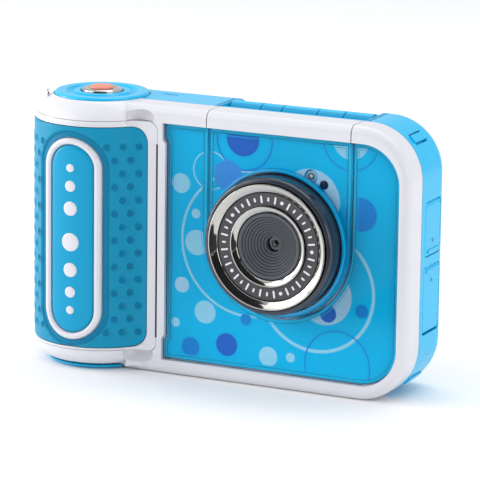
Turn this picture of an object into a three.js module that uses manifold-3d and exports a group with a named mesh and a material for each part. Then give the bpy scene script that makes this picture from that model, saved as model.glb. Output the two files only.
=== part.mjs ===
// Kids' instant-print camera with a flip-up lens, a paper door on the grip and two side flaps.
// Millimetres, +Z up. X = 0 is the middle of the width, Y = 0 the grip's axis, Z = 0 the base.
// The lens looks along -Y.
import * as THREE from 'three';
import { mergeVertices } from 'three/addons/utils/BufferGeometryUtils.js';
import Module from 'manifold-3d';

const wasm = await Module();
wasm.setup();

// ---- driving dimensions ----
const RIGHT = 73.8; // right side of the case
const TOP = 95.7; // top of the case
const FRONT = -12.6; // front of the white bezel
const BACK = 22; // flat back
const PART = -2; // white front meets blue back
const WALL = 2;
const CORNER = 19; // right corners of the case
const SPLIT = 0.15; // half of the line between the two cases
const GAP = 0.3;

const GRIP = { x: -50, y: 0, r: 23.5, top: 96, bottom: 1.8 };
const FILLET = 8; // hollow between the grip and the front
const FOOT_X = -35.4; // the grip's foot stops short of the case here

const PLATE = { x0: -18.3, x1: 69.5, z0: 5.6, z1: 89.6, r: 13.6, front: -12, back: -10.45 };
const PLATE_TAB = 1.1; // the plate's left ends step out by this much
const INSERT = { front: -10.35, back: -10 };
const SEAT_Y = -9.85; // floor of the recess that holds the plate

const LENS = { x: 24.4, z: 52.2, r: 24.2 };
const FLIP_HALF = 27; // half width of the flip door
const FLIP_HINGE = { y: 8.5, z: 91.4, r: 4.8, bore: 1.4, pin: 1.2 };
const FLIP_KNUCKLES = [[-2.3, 9.2], [17.6, 30.6], [41, 51.1]];
const CASE_KNUCKLES = [[9.6, 17.2], [31, 40.6]];
const BAY_FLOOR = 86.2; // floor under the flip door's hinge

const DOOR = { x1: -21.75, z0: 8, z1: 89.8, y1: PART - 0.45 };
const SKIN = { x1: -25.5, z0: 9, z1: 87.7, r: 6, y1: -4.5 };
const BADGE = { z: 47.55, halfX: 10.8, halfZ: 36.05, plaqueX: 8.3, plaqueZ: 33.6 };
const SLOT = { x0: -22, x1: -21.1, z0: 13, z1: 82.2 }; // the paper comes out here
const LOOP_FEET = [[-66.4, -9.6], [-67.9, -6.9]]; // ends of the wire strap loop
const DOOR_HINGE = { x: -73.3, y: 1.8, r: 1.7, bore: 0.95, pin: 0.75 };
const DOOR_KNUCKLES = [[14, 24], [44, 54], [72, 82]];
const DOOR_CASE_KNUCKLES = [[24.4, 43.6], [54.4, 71.6]];

const ROLL = { r: 15, z0: 19, z1: 76, clear: 17 };
const PLATEN = { x: -26.5, y: -5, r: 4, z0: 17, z1: 77 };
const MODULE_MM = 0.5; // gear module
const IDLER = { x: -22.25, y: 2.36, teeth: 20 };
const PINION = { x: -18.5, y: 8.86, teeth: 10 };
const PLATEN_TEETH = 14;
const GEAR_Z = [80.6, 83.4];

const FLAP = { axisX: 72.6, clear: 1.35, pin: 0.5, ledge: 0.5 };
const USB = { y0: 1.4, y1: 14.8, z0: 49.6, z1: 67.5 };
const SD = { y0: 0.6, y1: 14.8, z0: 23.4, z1: 45.8 };

const SCREEN = { x0: -1, x1: 65, z0: 19.5, z1: 78.5 };
const DPAD = { x: -24, z: 50, r: 10.9 };
const BUTTONS = { mode: [-31, 74], play: [-17, 74], print: [-31, 27], erase: [-17, 27] };
const SCREWS = [[62, 84], [62, 11.5], [-8.6, 89.5], [-12, 9]];

// ---- solids ----
function signedVolume(position, index) {
  const a = new THREE.Vector3();
  const b = new THREE.Vector3();
  const c = new THREE.Vector3();
  let sum = 0;
  for (let i = 0; i < index.length; i += 3) {
    a.fromBufferAttribute(position, index[i]);
    b.fromBufferAttribute(position, index[i + 1]);
    c.fromBufferAttribute(position, index[i + 2]);
    sum += a.dot(b.cross(c));
  }
  return sum;
}

function solid(geometry) {
  let g = geometry.clone();
  g.deleteAttribute('normal');
  g.deleteAttribute('uv');
  g = mergeVertices(g, 1e-4);
  const index = [];
  for (let i = 0; i < g.index.count; i += 3) {
    const t = [g.index.getX(i), g.index.getX(i + 1), g.index.getX(i + 2)];
    if (new Set(t).size === 3) index.push(...t);
  }
  if (signedVolume(g.attributes.position, index) < 0) index.reverse();
  const mesh = new wasm.Mesh({
    numProp: 3,
    vertProperties: new Float32Array(g.attributes.position.array),
    triVerts: new Uint32Array(index),
  });
  return new wasm.Manifold(mesh);
}

function add(...parts) {
  return parts.reduce((a, b) => a.add(b));
}

function cut(body, ...tools) {
  return tools.reduce((a, b) => a.subtract(b), body);
}

function both(...parts) {
  return parts.reduce((a, b) => a.intersect(b));
}

function box(x0, x1, y0, y1, z0, z1) {
  const g = new THREE.BoxGeometry(x1 - x0, y1 - y0, z1 - z0);
  g.translate((x0 + x1) / 2, (y0 + y1) / 2, (z0 + z1) / 2);
  return solid(g);
}

function shapeOf(points) {
  return new THREE.Shape(points.map(([u, v]) => new THREE.Vector2(u, v)));
}

// An outline in X and Z, run along Y from y0 to y1.
function alongY(points, y0, y1) {
  const g = new THREE.ExtrudeGeometry(shapeOf(points), { depth: y1 - y0, bevelEnabled: false });
  g.rotateX(Math.PI / 2);
  g.translate(0, y1, 0);
  return solid(g);
}

// An outline in X and Y, run along Z.
function alongZ(points, z0, z1) {
  const g = new THREE.ExtrudeGeometry(shapeOf(points), { depth: z1 - z0, bevelEnabled: false });
  g.translate(0, 0, z0);
  return solid(g);
}

// An outline in Y and Z, run along X.
function alongX(points, x0, x1) {
  const g = new THREE.ExtrudeGeometry(shapeOf(points), { depth: x1 - x0, bevelEnabled: false });
  g.applyMatrix4(new THREE.Matrix4().set(0, 0, 1, x0, 1, 0, 0, 0, 0, 1, 0, 0, 0, 0, 0, 1));
  return solid(g);
}

function latheGeometry(profile, segments) {
  return new THREE.LatheGeometry(profile.map(([r, h]) => new THREE.Vector2(r, h)), segments);
}

// A profile of [radius, z], turned about a vertical axis.
function latheZ(profile, x, y, segments = 36) {
  const g = latheGeometry(profile, segments);
  g.rotateX(Math.PI / 2);
  g.translate(x, y, 0);
  return solid(g);
}

// A closed profile of [radius, y], turned about an axis along Y.
function latheY(profile, x, z, segments = 24) {
  const g = latheGeometry(profile, segments);
  g.translate(x, 0, z);
  return solid(g);
}

function ringProfile(r0, r1, h0, h1) {
  return [[r0, h0], [r1, h0], [r1, h1], [r0, h1], [r0, h0]];
}

function rodZ(x, y, r, z0, z1, segments = 16) {
  return latheZ([[0, z0], [r, z0], [r, z1], [0, z1]], x, y, segments);
}

function rodY(x, z, r, y0, y1, segments = 16) {
  return latheY([[0, y0], [r, y0], [r, y1], [0, y1]], x, z, segments);
}

function rodX(y, z, r, x0, x1, segments = 16) {
  return alongX(circle(y, z, r, segments), x0, x1);
}

function circle(u, v, r, n) {
  return Array.from({ length: n }, (_, i) => {
    const a = (2 * Math.PI * i) / n;
    return [u + r * Math.cos(a), v + r * Math.sin(a)];
  });
}

function arc(u, v, r, from, to, n) {
  return Array.from({ length: n + 1 }, (_, i) => {
    const a = THREE.MathUtils.degToRad(from + ((to - from) * i) / n);
    return [u + r * Math.cos(a), v + r * Math.sin(a)];
  });
}

// Rounded rectangle, anticlockwise; rl and rr are the left and right corner radii.
function roundRect(u0, u1, v0, v1, rl, rr = rl, n = 4) {
  const nl = rl < 1 ? 1 : n;
  return [
    ...arc(u1 - rr, v0 + rr, rr, -90, 0, n),
    ...arc(u1 - rr, v1 - rr, rr, 0, 90, n),
    ...arc(u0 + rl, v1 - rl, rl, 90, 180, nl),
    ...arc(u0 + rl, v0 + rl, rl, 180, 270, nl),
  ];
}

// A solid through rings of equal length, closed by a fan on each end.
function loft(rings) {
  const n = rings[0].length;
  const points = rings.flat();
  const middle = (ring) => [0, 1, 2].map((k) => ring.reduce((s, p) => s + p[k], 0) / n);
  const first = points.length;
  points.push(middle(rings[0]), middle(rings[rings.length - 1]));
  const index = [];
  for (let j = 0; j < rings.length - 1; j += 1) {
    for (let i = 0; i < n; i += 1) {
      const a = j * n + i;
      const b = j * n + ((i + 1) % n);
      index.push(a, b, b + n, a, b + n, a + n);
    }
  }
  const last = (rings.length - 1) * n;
  for (let i = 0; i < n; i += 1) {
    const next = (i + 1) % n;
    index.push(first, next, i, first + 1, last + i, last + next);
  }
  const g = new THREE.BufferGeometry();
  g.setAttribute('position', new THREE.Float32BufferAttribute(points.flat(), 3));
  g.setIndex(index);
  return solid(g);
}

// ---- the outside of the camera, moved inwards by d ----
function bodyBlock(d, front, x0, [corner, nFront, nBack]) {
  const rings = [];
  const inset = (y, i) => {
    const outline = roundRect(x0, RIGHT - d - i, d + i, TOP - d - i, 0.5, CORNER - d - i, corner);
    rings.push(outline.map(([x, z]) => [x, y, z]));
  };
  const round = (r, n, place) => {
    for (let k = 0; k <= n; k += 1) {
      const a = (Math.PI / 2) * (k / n);
      place(r * (1 - Math.sin(a)), r * (1 - Math.cos(a)));
    }
  };
  round(3.2, nFront, (i, depth) => inset(front + depth, i));
  const back = [];
  round(8 - d, nBack, (i, depth) => back.push([BACK - d - depth, i]));
  back.reverse().forEach(([y, i]) => inset(y, i));
  return loft(rings);
}

function filletPrism(d, front) {
  const r = FILLET + d;
  const grip = GRIP.r - d;
  const cy = front - r;
  const cx = GRIP.x + Math.sqrt((grip + r) ** 2 - cy ** 2);
  const start = THREE.MathUtils.radToDeg(Math.atan2(GRIP.y - cy, GRIP.x - cx));
  const curve = arc(cx, cy, r, start, 90, 4);
  const points = [...curve, [cx, front + 3], [GRIP.x + grip - 8, front + 3]];
  return alongZ(points.reverse(), 2 + d, 93.6 - d);
}

function gripProfile(d) {
  const r = GRIP.r - d;
  return [
    [0, GRIP.bottom + d],
    [r - 6.9, GRIP.bottom + d],
    [r - 3.9, GRIP.bottom + d + 0.7],
    [r - 1.5, GRIP.bottom + d * 0.6 + 2.3],
    [r, GRIP.bottom + 4.6],
    [r, 88],
    [r - 1.5, 91.4 - d * 0.6],
    [r - 3.9, 94.4 - d],
    [r - 6.6, GRIP.top - d],
    [0, GRIP.top - d],
  ];
}

function outside(d) {
  const grip = latheZ(gripProfile(d), GRIP.x, GRIP.y, 32);
  const foot = box(GRIP.x - 1, -34.6, -30, 30, -1, GRIP.bottom + d);
  return add(grip, cut(bodyBlock(d, FRONT + d, GRIP.x, [5, 2, 3]), foot), filletPrism(d, FRONT + d));
}

// The hollow of the two cases: thicker front wall, thicker ends on the grip.
function inside() {
  const grip = latheZ([
    [0, 5.8],
    [18.6, 5.8],
    [20.4, 6.8],
    [GRIP.r - WALL, 8.6],
    [GRIP.r - WALL, 88],
    [20.4, 90.2],
    [18.6, 91.6],
    [0, 91.6],
  ], GRIP.x, GRIP.y, 24);
  const body = bodyBlock(WALL, SEAT_Y + WALL, GRIP.x, [3, 1, 2]);
  const foot = box(GRIP.x - 1, -32.6, -30, 30, 0, 5.8);
  const head = box(GRIP.x - 1, -32, -30, 30, 91.6, 96);
  return add(grip, cut(body, foot, head));
}

// Flip door outline: straight sides, half-round bottom about the lens.
function tongue(half, top) {
  const x0 = LENS.x - half;
  const x1 = LENS.x + half;
  return [[x1, top], [x0, top], ...arc(LENS.x, LENS.z, half, 180, 360, 20)];
}

const shell = cut(outside(0), inside());
const everything = outside(0);
const meshes = [];

function part(name, body, colour, roughness, metalness = 0) {
  const mesh = body.getMesh();
  const n = mesh.numProp;
  const positions = new Float32Array(mesh.numVert * 3);
  for (let i = 0; i < mesh.numVert; i += 1) {
    for (let k = 0; k < 3; k += 1) positions[3 * i + k] = mesh.vertProperties[n * i + k];
  }
  const g = new THREE.BufferGeometry();
  g.setAttribute('position', new THREE.BufferAttribute(positions, 3));
  g.setIndex(Array.from(mesh.triVerts));
  g.computeVertexNormals();
  const material = new THREE.MeshStandardMaterial({ color: colour, roughness, metalness });
  const made = new THREE.Mesh(g, material);
  made.name = name;
  meshes.push(made);
}

const WHITE = 0xf0eef4;
const BLUE = 0x14a8e6;
const SKIN_BLUE = 0x2f9fd6;
const DARK = 0x2c323c;
const STEEL = 0xb9bdc2;
const CHROME = 0xe2e4e8;

// ---- screw bosses ----
function backBoss([x, z]) {
  return rodY(x, z, 3.2, PART + SPLIT, BACK - WALL + 0.5, 8);
}

function frontBoss([x, z]) {
  return rodY(x, z, 3.2, SEAT_Y + WALL - 0.5, PART - SPLIT, 8);
}

// ---- front case ----
function plateOutline(grow) {
  const { x0, x1, z0, z1, r } = PLATE;
  return roundRect(x0 - grow, x1 + grow, z0 - grow, z1 + grow, 0.6, r + grow, 6);
}

function plateBlock(grow, y0, y1) {
  const x0 = PLATE.x0 - PLATE_TAB - grow;
  const low = box(x0, 0, y0, y1, PLATE.z0 - grow, 13.4 + grow);
  const high = box(x0, 0, y0, y1, 83.6 - grow, PLATE.z1 + grow);
  return add(alongY(plateOutline(grow), y0, y1), low, high);
}

function doorPrism(grow, y1) {
  const outline = roundRect(-80, DOOR.x1 + grow, DOOR.z0 - grow, DOOR.z1 + grow, 0.5, 3);
  return alongY(outline, -40, y1);
}

function notch(z) {
  const g = new THREE.SphereGeometry(1, 12, 8);
  g.scale(5.6, 5, 3.6);
  g.translate(-27.5, FRONT - 2.6, z);
  return solid(g);
}

const frontShell = add(
  both(shell, box(-90, 90, -40, PART - SPLIT, -1, 110)),
  ...SCREWS.map(frontBoss),
);
part('front_case', cut(
  frontShell,
  plateBlock(GAP, -20, SEAT_Y),
  alongY(tongue(FLIP_HALF + 0.4, 110), -30, 5),
  doorPrism(GAP, 5),
  box(SLOT.x0, SLOT.x1, -20, -8, SLOT.z0, SLOT.z1),
  notch(91.2),
  notch(6.6),
  latheZ([[0, 93.6], [17.1, 93.6], [17.1, 99], [0, 99]], GRIP.x, GRIP.y, 32),
  rodZ(GRIP.x, GRIP.y, 8.4, 90, 95, 16),
  ...LOOP_FEET.map(([x, y]) => rodZ(x, y, 0.95, 92.3, 98, 8)),
  ...SCREWS.map(([x, z]) => rodY(x, z, 1.5, -6.6, 0, 8)),
), WHITE, 0.35);

// ---- back case ----
function flapOpening({ y0, y1, z0, z1 }) {
  return box(RIGHT - 4, RIGHT + 2, y0 - 0.2, y1 + 0.2, z0, z1);
}

function turned(x0, x1, y0, y1, z0, z1, angle, cx, cz) {
  const g = new THREE.BoxGeometry(x1 - x0, y1 - y0, z1 - z0);
  g.translate((x0 + x1) / 2, (y0 + y1) / 2, (z0 + z1) / 2);
  g.rotateY(-angle);
  g.translate(cx, 0, cz);
  return solid(g);
}

function strapCorner(body, sign) {
  const cx = RIGHT - CORNER;
  const cz = sign > 0 ? TOP - CORNER : CORNER;
  const angle = (sign * Math.PI) / 4;
  const pad = both(everything, turned(13, 21, PART + SPLIT, 14.5, -6, 6, angle, cx, cz));
  const pocket = turned(CORNER - 3, 22, 1.6, 11, -2.9, 2.9, angle, cx, cz);
  const bar = turned(CORNER - 1.4, CORNER + 0.5, 1.2, 11.4, -1.5, 1.5, angle, cx, cz);
  return add(cut(add(body, pad), pocket), bar);
}

// Holes for a flap's two stub pins.
function stubHoles(flap, z) {
  return rodY(FLAP.axisX, z, FLAP.pin + 0.12, flap.y0 - 1, flap.y1 + 1, 10);
}

let backShell = add(
  both(shell, box(-90, 90, PART + SPLIT, 40, -1, 110)),
  ...SCREWS.map(backBoss),
);
backShell = cut(
  backShell,
  ...DOOR_KNUCKLES.map(([a, b]) => rodZ(DOOR_HINGE.x, DOOR_HINGE.y, 2.1, a - 0.4, b + 0.4, 10)),
  ...DOOR_KNUCKLES.map(([a, b]) => box(-76, -71.9, -3, DOOR_HINGE.y, a - 0.4, b + 0.4)),
);
backShell = add(
  backShell,
  ...DOOR_CASE_KNUCKLES.map(([a, b]) => rodZ(DOOR_HINGE.x, DOOR_HINGE.y, DOOR_HINGE.r, a, b, 12)),
);
backShell = strapCorner(strapCorner(backShell, 1), -1);
part('back_case', cut(
  backShell,
  box(-4.95, 53.75, -5, 30, 84.4, 110),
  latheZ([[0, 93.6], [17.1, 93.6], [17.1, 99], [0, 99]], GRIP.x, GRIP.y, 32),
  rodZ(GRIP.x, GRIP.y, 8.4, 90, 95, 16),
  rodZ(DOOR_HINGE.x, DOOR_HINGE.y, DOOR_HINGE.bore, 10, 86, 10),
  alongY(roundRect(SCREEN.x0 - GAP, SCREEN.x1 + GAP, SCREEN.z0 - GAP, SCREEN.z1 + GAP, 4.3), 19, 30),
  rodY(DPAD.x, DPAD.z, 11.8, 19, 30, 16),
  ...Object.values(BUTTONS).map(([x, z]) => rodY(x, z, 4.5, 19, 30, 10)),
  flapOpening({ ...USB, z0: USB.z0 - 0.2, z1: USB.z1 + FLAP.clear }),
  flapOpening({ ...SD, z0: SD.z0 - FLAP.clear, z1: SD.z1 + 0.2 }),
  stubHoles(USB, USB.z1),
  stubHoles(SD, SD.z0),
  ...SCREWS.map(([x, z]) => rodY(x, z, 1.5, -5, 30, 8)),
  ...SCREWS.map(([x, z]) => rodY(x, z, 2.8, 12, 30, 8)),
  ...[-29, -26.5, -24, -21.5, -19].map((x) => box(x - 0.6, x + 0.6, 19, 30, 9.4, 17.4)),
), BLUE, 0.32);

// ---- rings on the grip ----
part('button_ring', latheZ([
  [7.6, 93.9],
  [16.8, 93.9],
  [16.8, 96.3],
  [16.2, 96.9],
  [13.2, 96.9],
  [11.9, 95.9],
  [10.6, 95.9],
  [9.6, 97],
  [8, 97],
  [7.6, 96.6],
  [7.6, 93.9],
], GRIP.x, GRIP.y, 28), BLUE, 0.3);

part('base_ring', cut(latheZ([
  [0, 0],
  [16.4, 0],
  [18.4, 0.5],
  [19.3, 1.5],
  [0, 1.5],
], GRIP.x, GRIP.y, 28), box(FOOT_X, 0, -30, 30, -1, 5)), BLUE, 0.4);

// ---- shutter ----
part('shutter_button', latheZ([
  [0, 90.2],
  [9.4, 90.2],
  [9.4, 91.3],
  [7.2, 91.3],
  [7.2, 97.2],
  [6.7, 97.8],
  [5.2, 97.9],
  [4.7, 97.4],
  [0, 97.4],
], GRIP.x, GRIP.y, 20), CHROME, 0.12, 1);

part('shutter_cap', latheZ([
  [0, 97.7],
  [4.2, 97.7],
  [4.2, 98.2],
  [3.6, 98.6],
  [0, 98.9],
], GRIP.x, GRIP.y, 16), 0xe0574f, 0.4);

// ---- fixed clear plate and its printed insert ----
const opening = (y0, y1) => alongY(tongue(FLIP_HALF + 0.4, 110), y0, y1);
part('faceplate', cut(
  plateBlock(0, PLATE.front, PLATE.back),
  opening(-20, 0),
), 0x8fd6f5, 0.06);
part('face_insert', cut(
  plateBlock(-0.2, INSERT.front, INSERT.back),
  opening(-20, 0),
), 0x12a6e6, 0.5);

// ---- bay behind the flip door, with the case's hinge knuckles ----
const hinge = (x0, x1, r, n = 16) => rodX(FLIP_HINGE.y, FLIP_HINGE.z, r, x0, x1, n);
const bore = (x0, x1) => rodX(FLIP_HINGE.y, FLIP_HINGE.z, FLIP_HINGE.bore, x0, x1, 10);
const bayCup = cut(
  alongY(tongue(28.85, 86.1), -7.5, -1.2),
  alongY(tongue(FLIP_HALF + 0.4, 120), -9, -2.7),
);
const baySides = [[-4.45, -3], [51.8, 53.25]].map(([a, b]) => box(a, b, -6, -1.2, 50, 92));
const saddle = cut(
  both(everything, box(-4.45, 53.25, -1.7, 30, 84.7, 110)),
  box(-3, 51.8, -5, 30, BAY_FLOOR, 120),
);
const caseKnuckles = CASE_KNUCKLES.map(([a, b]) => add(
  hinge(a, b, FLIP_HINGE.r),
  box(a, b, 4.4, 12.6, BAY_FLOOR - 0.5, FLIP_HINGE.z),
));
part('flip_bay', cut(
  add(bayCup, ...baySides, saddle, ...caseKnuckles),
  bore(5, 45),
), BLUE, 0.35);
part('flip_hinge_pin', hinge(-2.8, 51.6, FLIP_HINGE.pin, 10), STEEL, 0.3, 1);

// ---- flip door ----
const band = box(LENS.x - FLIP_HALF, LENS.x + FLIP_HALF, -20, PART - SPLIT, PLATE.z1 + GAP, 110);
const frameBlock = both(everything, add(alongY(tongue(FLIP_HALF, 110), -20, -4.8), band));
part('flip_frame', cut(
  frameBlock,
  alongY(tongue(FLIP_HALF + 1, PLATE.z1 + GAP), -20, SEAT_Y),
  alongY(tongue(FLIP_HALF - 1.8, 88), -8.4, 0),
  rodY(LENS.x, LENS.z, 5.9, -20, 0, 16),
  rodY(36.1, 76.4, 2.3, -20, 0, 12),
), WHITE, 0.35);

const collar = latheY(ringProfile(24.7, 25.8, -12.9, -11.5), LENS.x, LENS.z, 24);
const lensHole = rodY(LENS.x, LENS.z, 24.7, -14, -8, 24);
part('flip_plate', cut(
  add(alongY(tongue(FLIP_HALF - 0.1, PLATE.z1), PLATE.front, PLATE.back), collar),
  lensHole,
), 0x8fd6f5, 0.06);
part('flip_insert', cut(
  alongY(tongue(FLIP_HALF - 0.2, PLATE.z1 - 0.2), INSERT.front, INSERT.back),
  lensHole,
  rodY(36.1, 76.4, 2.3, -20, 0, 12),
), 0x12a6e6, 0.5);

const link = box(LENS.x - 26.8, LENS.x + 26.8, -4.5, -0.4, 86.8, 89.6);
const lip = alongX(roundRect(-1.85, 1.6, 86.8, 95.3, 0.9, 0.9, 2), LENS.x - 26.8, LENS.x + 26.8);
const doorKnuckles = FLIP_KNUCKLES.map(([a, b]) => add(
  hinge(a, b, FLIP_HINGE.r),
  box(a, b, -1, FLIP_HINGE.y, 86.8, 89.6),
));
part('flip_back', cut(
  add(alongY(tongue(26.8, 89.6), -4.5, -3.1), link, lip, ...doorKnuckles),
  bore(-10, 60),
), BLUE, 0.35);

// ---- lens ----
part('lens_barrel', latheY([
  [24.2, -10.2],
  [24.2, -18.9],
  [23.6, -19.9],
  [22.3, -20.3],
  [22.3, -18],
  [12.2, -18],
  [12.2, -10.2],
  [13.4, -10.2],
  [13.4, -16.5],
  [22.3, -16.5],
  [22.3, -10.2],
  [24.2, -10.2],
], LENS.x, LENS.z, 24), DARK, 0.25);

part('lens_bezel', latheY([
  [19.1, -18.3],
  [22, -18.3],
  [22, -21.1],
  [21.5, -21.2],
  [19.1, -19.6],
  [19.1, -18.3],
], LENS.x, LENS.z, 24), CHROME, 0.1, 1);
part('lens_ring', latheY(ringProfile(14.4, 18.8, -19.4, -18.3), LENS.x, LENS.z), 0x4c494d, 0.4, 0.3);
part('lens_inner_ring', latheY([
  [11.9, -18.3],
  [14.1, -18.3],
  [14.1, -20.1],
  [13.7, -20.2],
  [11.9, -19],
  [11.9, -18.3],
], LENS.x, LENS.z, 20), CHROME, 0.12, 1);

const steps = [0, 1, 2].flatMap((i) => [
  [4 + 2.6 * i, -14.4 - 1.5 * i],
  [4 + 2.6 * i, -15.9 - 1.5 * i],
]);
part('lens_cone', latheY([
  [2.7, -13.2],
  [2.7, -14.4],
  ...steps,
  [11.6, -18.9],
  [11.6, -13.2],
  [2.7, -13.2],
], LENS.x, LENS.z, 20), 0x5a5f6b, 0.4, 0.2);

part('camera_module', latheY([
  [0, -14.1],
  [1.5, -13.9],
  [2.3, -13.3],
  [2.3, -12.8],
  [5.5, -12.8],
  [5.5, -5.3],
  [0, -5.3],
], LENS.x, LENS.z, 12), 0x1d2026, 0.15);
part('flash_led', rodY(36.1, 76.4, 2, -10.2, -6.6, 14), 0xf3efc4, 0.2);

// ---- paper door ----
const doorWall = cut(outside(0), outside(WALL));
const cheeks = [[13.6, 15.4], [78.2, 80]].map(([a, b]) => box(-29.6, -23.4, -11.8, -2.6, a, b));
const skinRegion = (grow) => alongY(
  roundRect(-80, SKIN.x1 + grow, SKIN.z0 - grow, SKIN.z1 + grow, 0.5, SKIN.r, 5),
  -40,
  SKIN.y1 + grow,
);
const skinShell = cut(outside(-0.3), outside(0.85));
const doorArms = DOOR_KNUCKLES.map(([a, b]) => add(
  rodZ(DOOR_HINGE.x, DOOR_HINGE.y, DOOR_HINGE.r, a, b, 12),
  box(-74.4, -72.3, -4, DOOR_HINGE.y - 0.2, a, b),
));
part('door_shell', cut(
  add(both(doorWall, doorPrism(0, DOOR.y1)), ...cheeks, ...doorArms),
  both(cut(outside(-1), outside(1.15)), skinRegion(0.25)),
  rodZ(DOOR_HINGE.x, DOOR_HINGE.y, DOOR_HINGE.bore, 5, 95, 10),
  rodZ(PLATEN.x, PLATEN.y, 1.65, 10, 85, 16),
  box(-23.6, -20, -20, -11.3, 12.7, 82.5),
), WHITE, 0.35);

// The badge's outline: an upright slot shape with round ends.
function pill(a, b) {
  const outline = roundRect(GRIP.x - a, GRIP.x + a, BADGE.z - b, BADGE.z + b, a - 0.4, a - 0.4, 6);
  return alongY(outline, -40, -5);
}

const badgeHole = pill(BADGE.halfX + GAP, BADGE.halfZ + GAP);
part('grip_skin', cut(both(skinShell, skinRegion(0)), badgeHole), SKIN_BLUE, 0.6);

const badgeZone = cut(
  latheZ([[0, 0], [GRIP.r + 0.9, 0], [GRIP.r + 0.9, 95], [0, 95]], GRIP.x, GRIP.y, 32),
  latheZ([[0, -1], [GRIP.r - 0.85, -1], [GRIP.r - 0.85, 96], [0, 96]], GRIP.x, GRIP.y, 32),
);
const plaqueZone = cut(
  latheZ([[0, 0], [GRIP.r + 0.2, 0], [GRIP.r + 0.2, 95], [0, 95]], GRIP.x, GRIP.y, 32),
  latheZ([[0, -1], [GRIP.r - 0.85, -1], [GRIP.r - 0.85, 96], [0, 96]], GRIP.x, GRIP.y, 32),
);
part('badge_ring', cut(
  both(badgeZone, pill(BADGE.halfX, BADGE.halfZ)),
  pill(BADGE.plaqueX + GAP, BADGE.plaqueZ + GAP),
), WHITE, 0.3);
part('badge_plaque', both(plaqueZone, pill(BADGE.plaqueX, BADGE.plaqueZ)), SKIN_BLUE, 0.45);
part('tear_bar', box(-23.3, -21.9, -12.7, -11.6, 13, 82.2), 0xd9d8de, 0.4);
part('door_hinge_pin', rodZ(DOOR_HINGE.x, DOOR_HINGE.y, DOOR_HINGE.pin, 12.5, 83.5, 10), STEEL, 0.3, 1);

// ---- platen and gears ----
function gear(x, y, teeth, hole, phase) {
  const pitch = (MODULE_MM * teeth) / 2;
  const points = [];
  for (let i = 0; i < teeth; i += 1) {
    const middle = phase + (2 * Math.PI * i) / teeth;
    const step = Math.PI / teeth;
    const corners = [[pitch - 0.62, -0.62], [pitch + 0.42, -0.2], [pitch + 0.42, 0.2], [pitch - 0.62, 0.62]];
    corners.forEach(([r, t]) => {
      const a = middle + step * t;
      points.push([x + r * Math.cos(a), y + r * Math.sin(a)]);
    });
  }
  const blank = alongZ(points, GEAR_Z[0], GEAR_Z[1]);
  return hole > 0 ? cut(blank, rodZ(x, y, hole, 70, 90, 12)) : blank;
}

// The angle that puts a gap of the driven gear over a tooth of its neighbour.
const toIdler = Math.atan2(IDLER.y - PLATEN.y, IDLER.x - PLATEN.x);
const toPinion = Math.atan2(PINION.y - IDLER.y, PINION.x - IDLER.x);
const idlerPhase = toPinion;
const fromPlaten = toIdler + Math.PI;
const idlerStep = (2 * Math.PI) / IDLER.teeth;
const offset = ((fromPlaten - idlerPhase) % idlerStep) / idlerStep;
const platenPhase = toIdler + ((0.5 + offset) * 2 * Math.PI) / PLATEN_TEETH;
const pinionPhase = toPinion + Math.PI + Math.PI / PINION.teeth;

part('platen_roller', latheZ(
  ringProfile(1.8, PLATEN.r, PLATEN.z0, PLATEN.z1),
  PLATEN.x,
  PLATEN.y,
  16,
), 0x26272a, 0.8);
part('platen_shaft', rodZ(PLATEN.x, PLATEN.y, 1.5, 12.6, 84.2, 16), STEEL, 0.3, 1);
part('platen_gear', gear(PLATEN.x, PLATEN.y, PLATEN_TEETH, 1.8, platenPhase), 0xe9e6dc, 0.5);
part('idler_gear', gear(IDLER.x, IDLER.y, IDLER.teeth, 1.5, idlerPhase), 0xe9e6dc, 0.5);
part('motor_pinion', add(
  gear(PINION.x, PINION.y, PINION.teeth, 0, pinionPhase),
  rodZ(PINION.x, PINION.y, 0.9, 78.5, 81, 10),
), 0xe9e6dc, 0.5);

// ---- paper bay, roll and print head ----
const trough = both(
  latheZ([[0, 16], [18.5, 16], [18.5, 79], [0, 79]], GRIP.x, GRIP.y, 24),
  box(-80, -20, -1.6, 30, 0, 100),
);
const flange = alongY(roundRect(-71, -23, 9, 88, 1), -1.6, 0.4);
const guide = box(-34, -21, 0.9, 2.4, 16.5, 77.6);
const shelf = box(-34, -12, 0.9, 14.5, 78.4, 80);
part('paper_bay', add(
  cut(
    add(trough, flange, guide, shelf),
    latheZ([[0, 17.5], [ROLL.clear, 17.5], [ROLL.clear, 77.5], [0, 77.5]], GRIP.x, GRIP.y, 24),
    box(-50, -15, -5, 0.9, 16.5, 77.5),
    box(-32, -15, -5, 0.9, 77.4, 84.5),
    box(-32, -15, -5, 2.8, 80.2, 84.5),
    rodZ(PINION.x, PINION.y, 1.4, 70, 90, 12),
  ),
  rodZ(IDLER.x, IDLER.y, 1.2, 79.5, 84, 12),
), WHITE, 0.5);
part('paper_roll', latheZ(ringProfile(3.5, ROLL.r, ROLL.z0, ROLL.z1), GRIP.x, GRIP.y, 24), 0xf7f6f2, 0.8);
part('thermal_head', box(-22.2, -20.6, -7.4, -1.9, 20, 76), 0x8a8f96, 0.3, 0.4);
part('head_bracket', add(
  box(-20.3, -19.1, -7.4, 0.3, 18, 78),
  box(-20.3, -14, -0.9, 0.3, 18, 78),
), STEEL, 0.35, 1);
part('stepper_motor', rodZ(PINION.x, PINION.y, 6.8, 64, 78.1, 20), STEEL, 0.35, 1);

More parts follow.
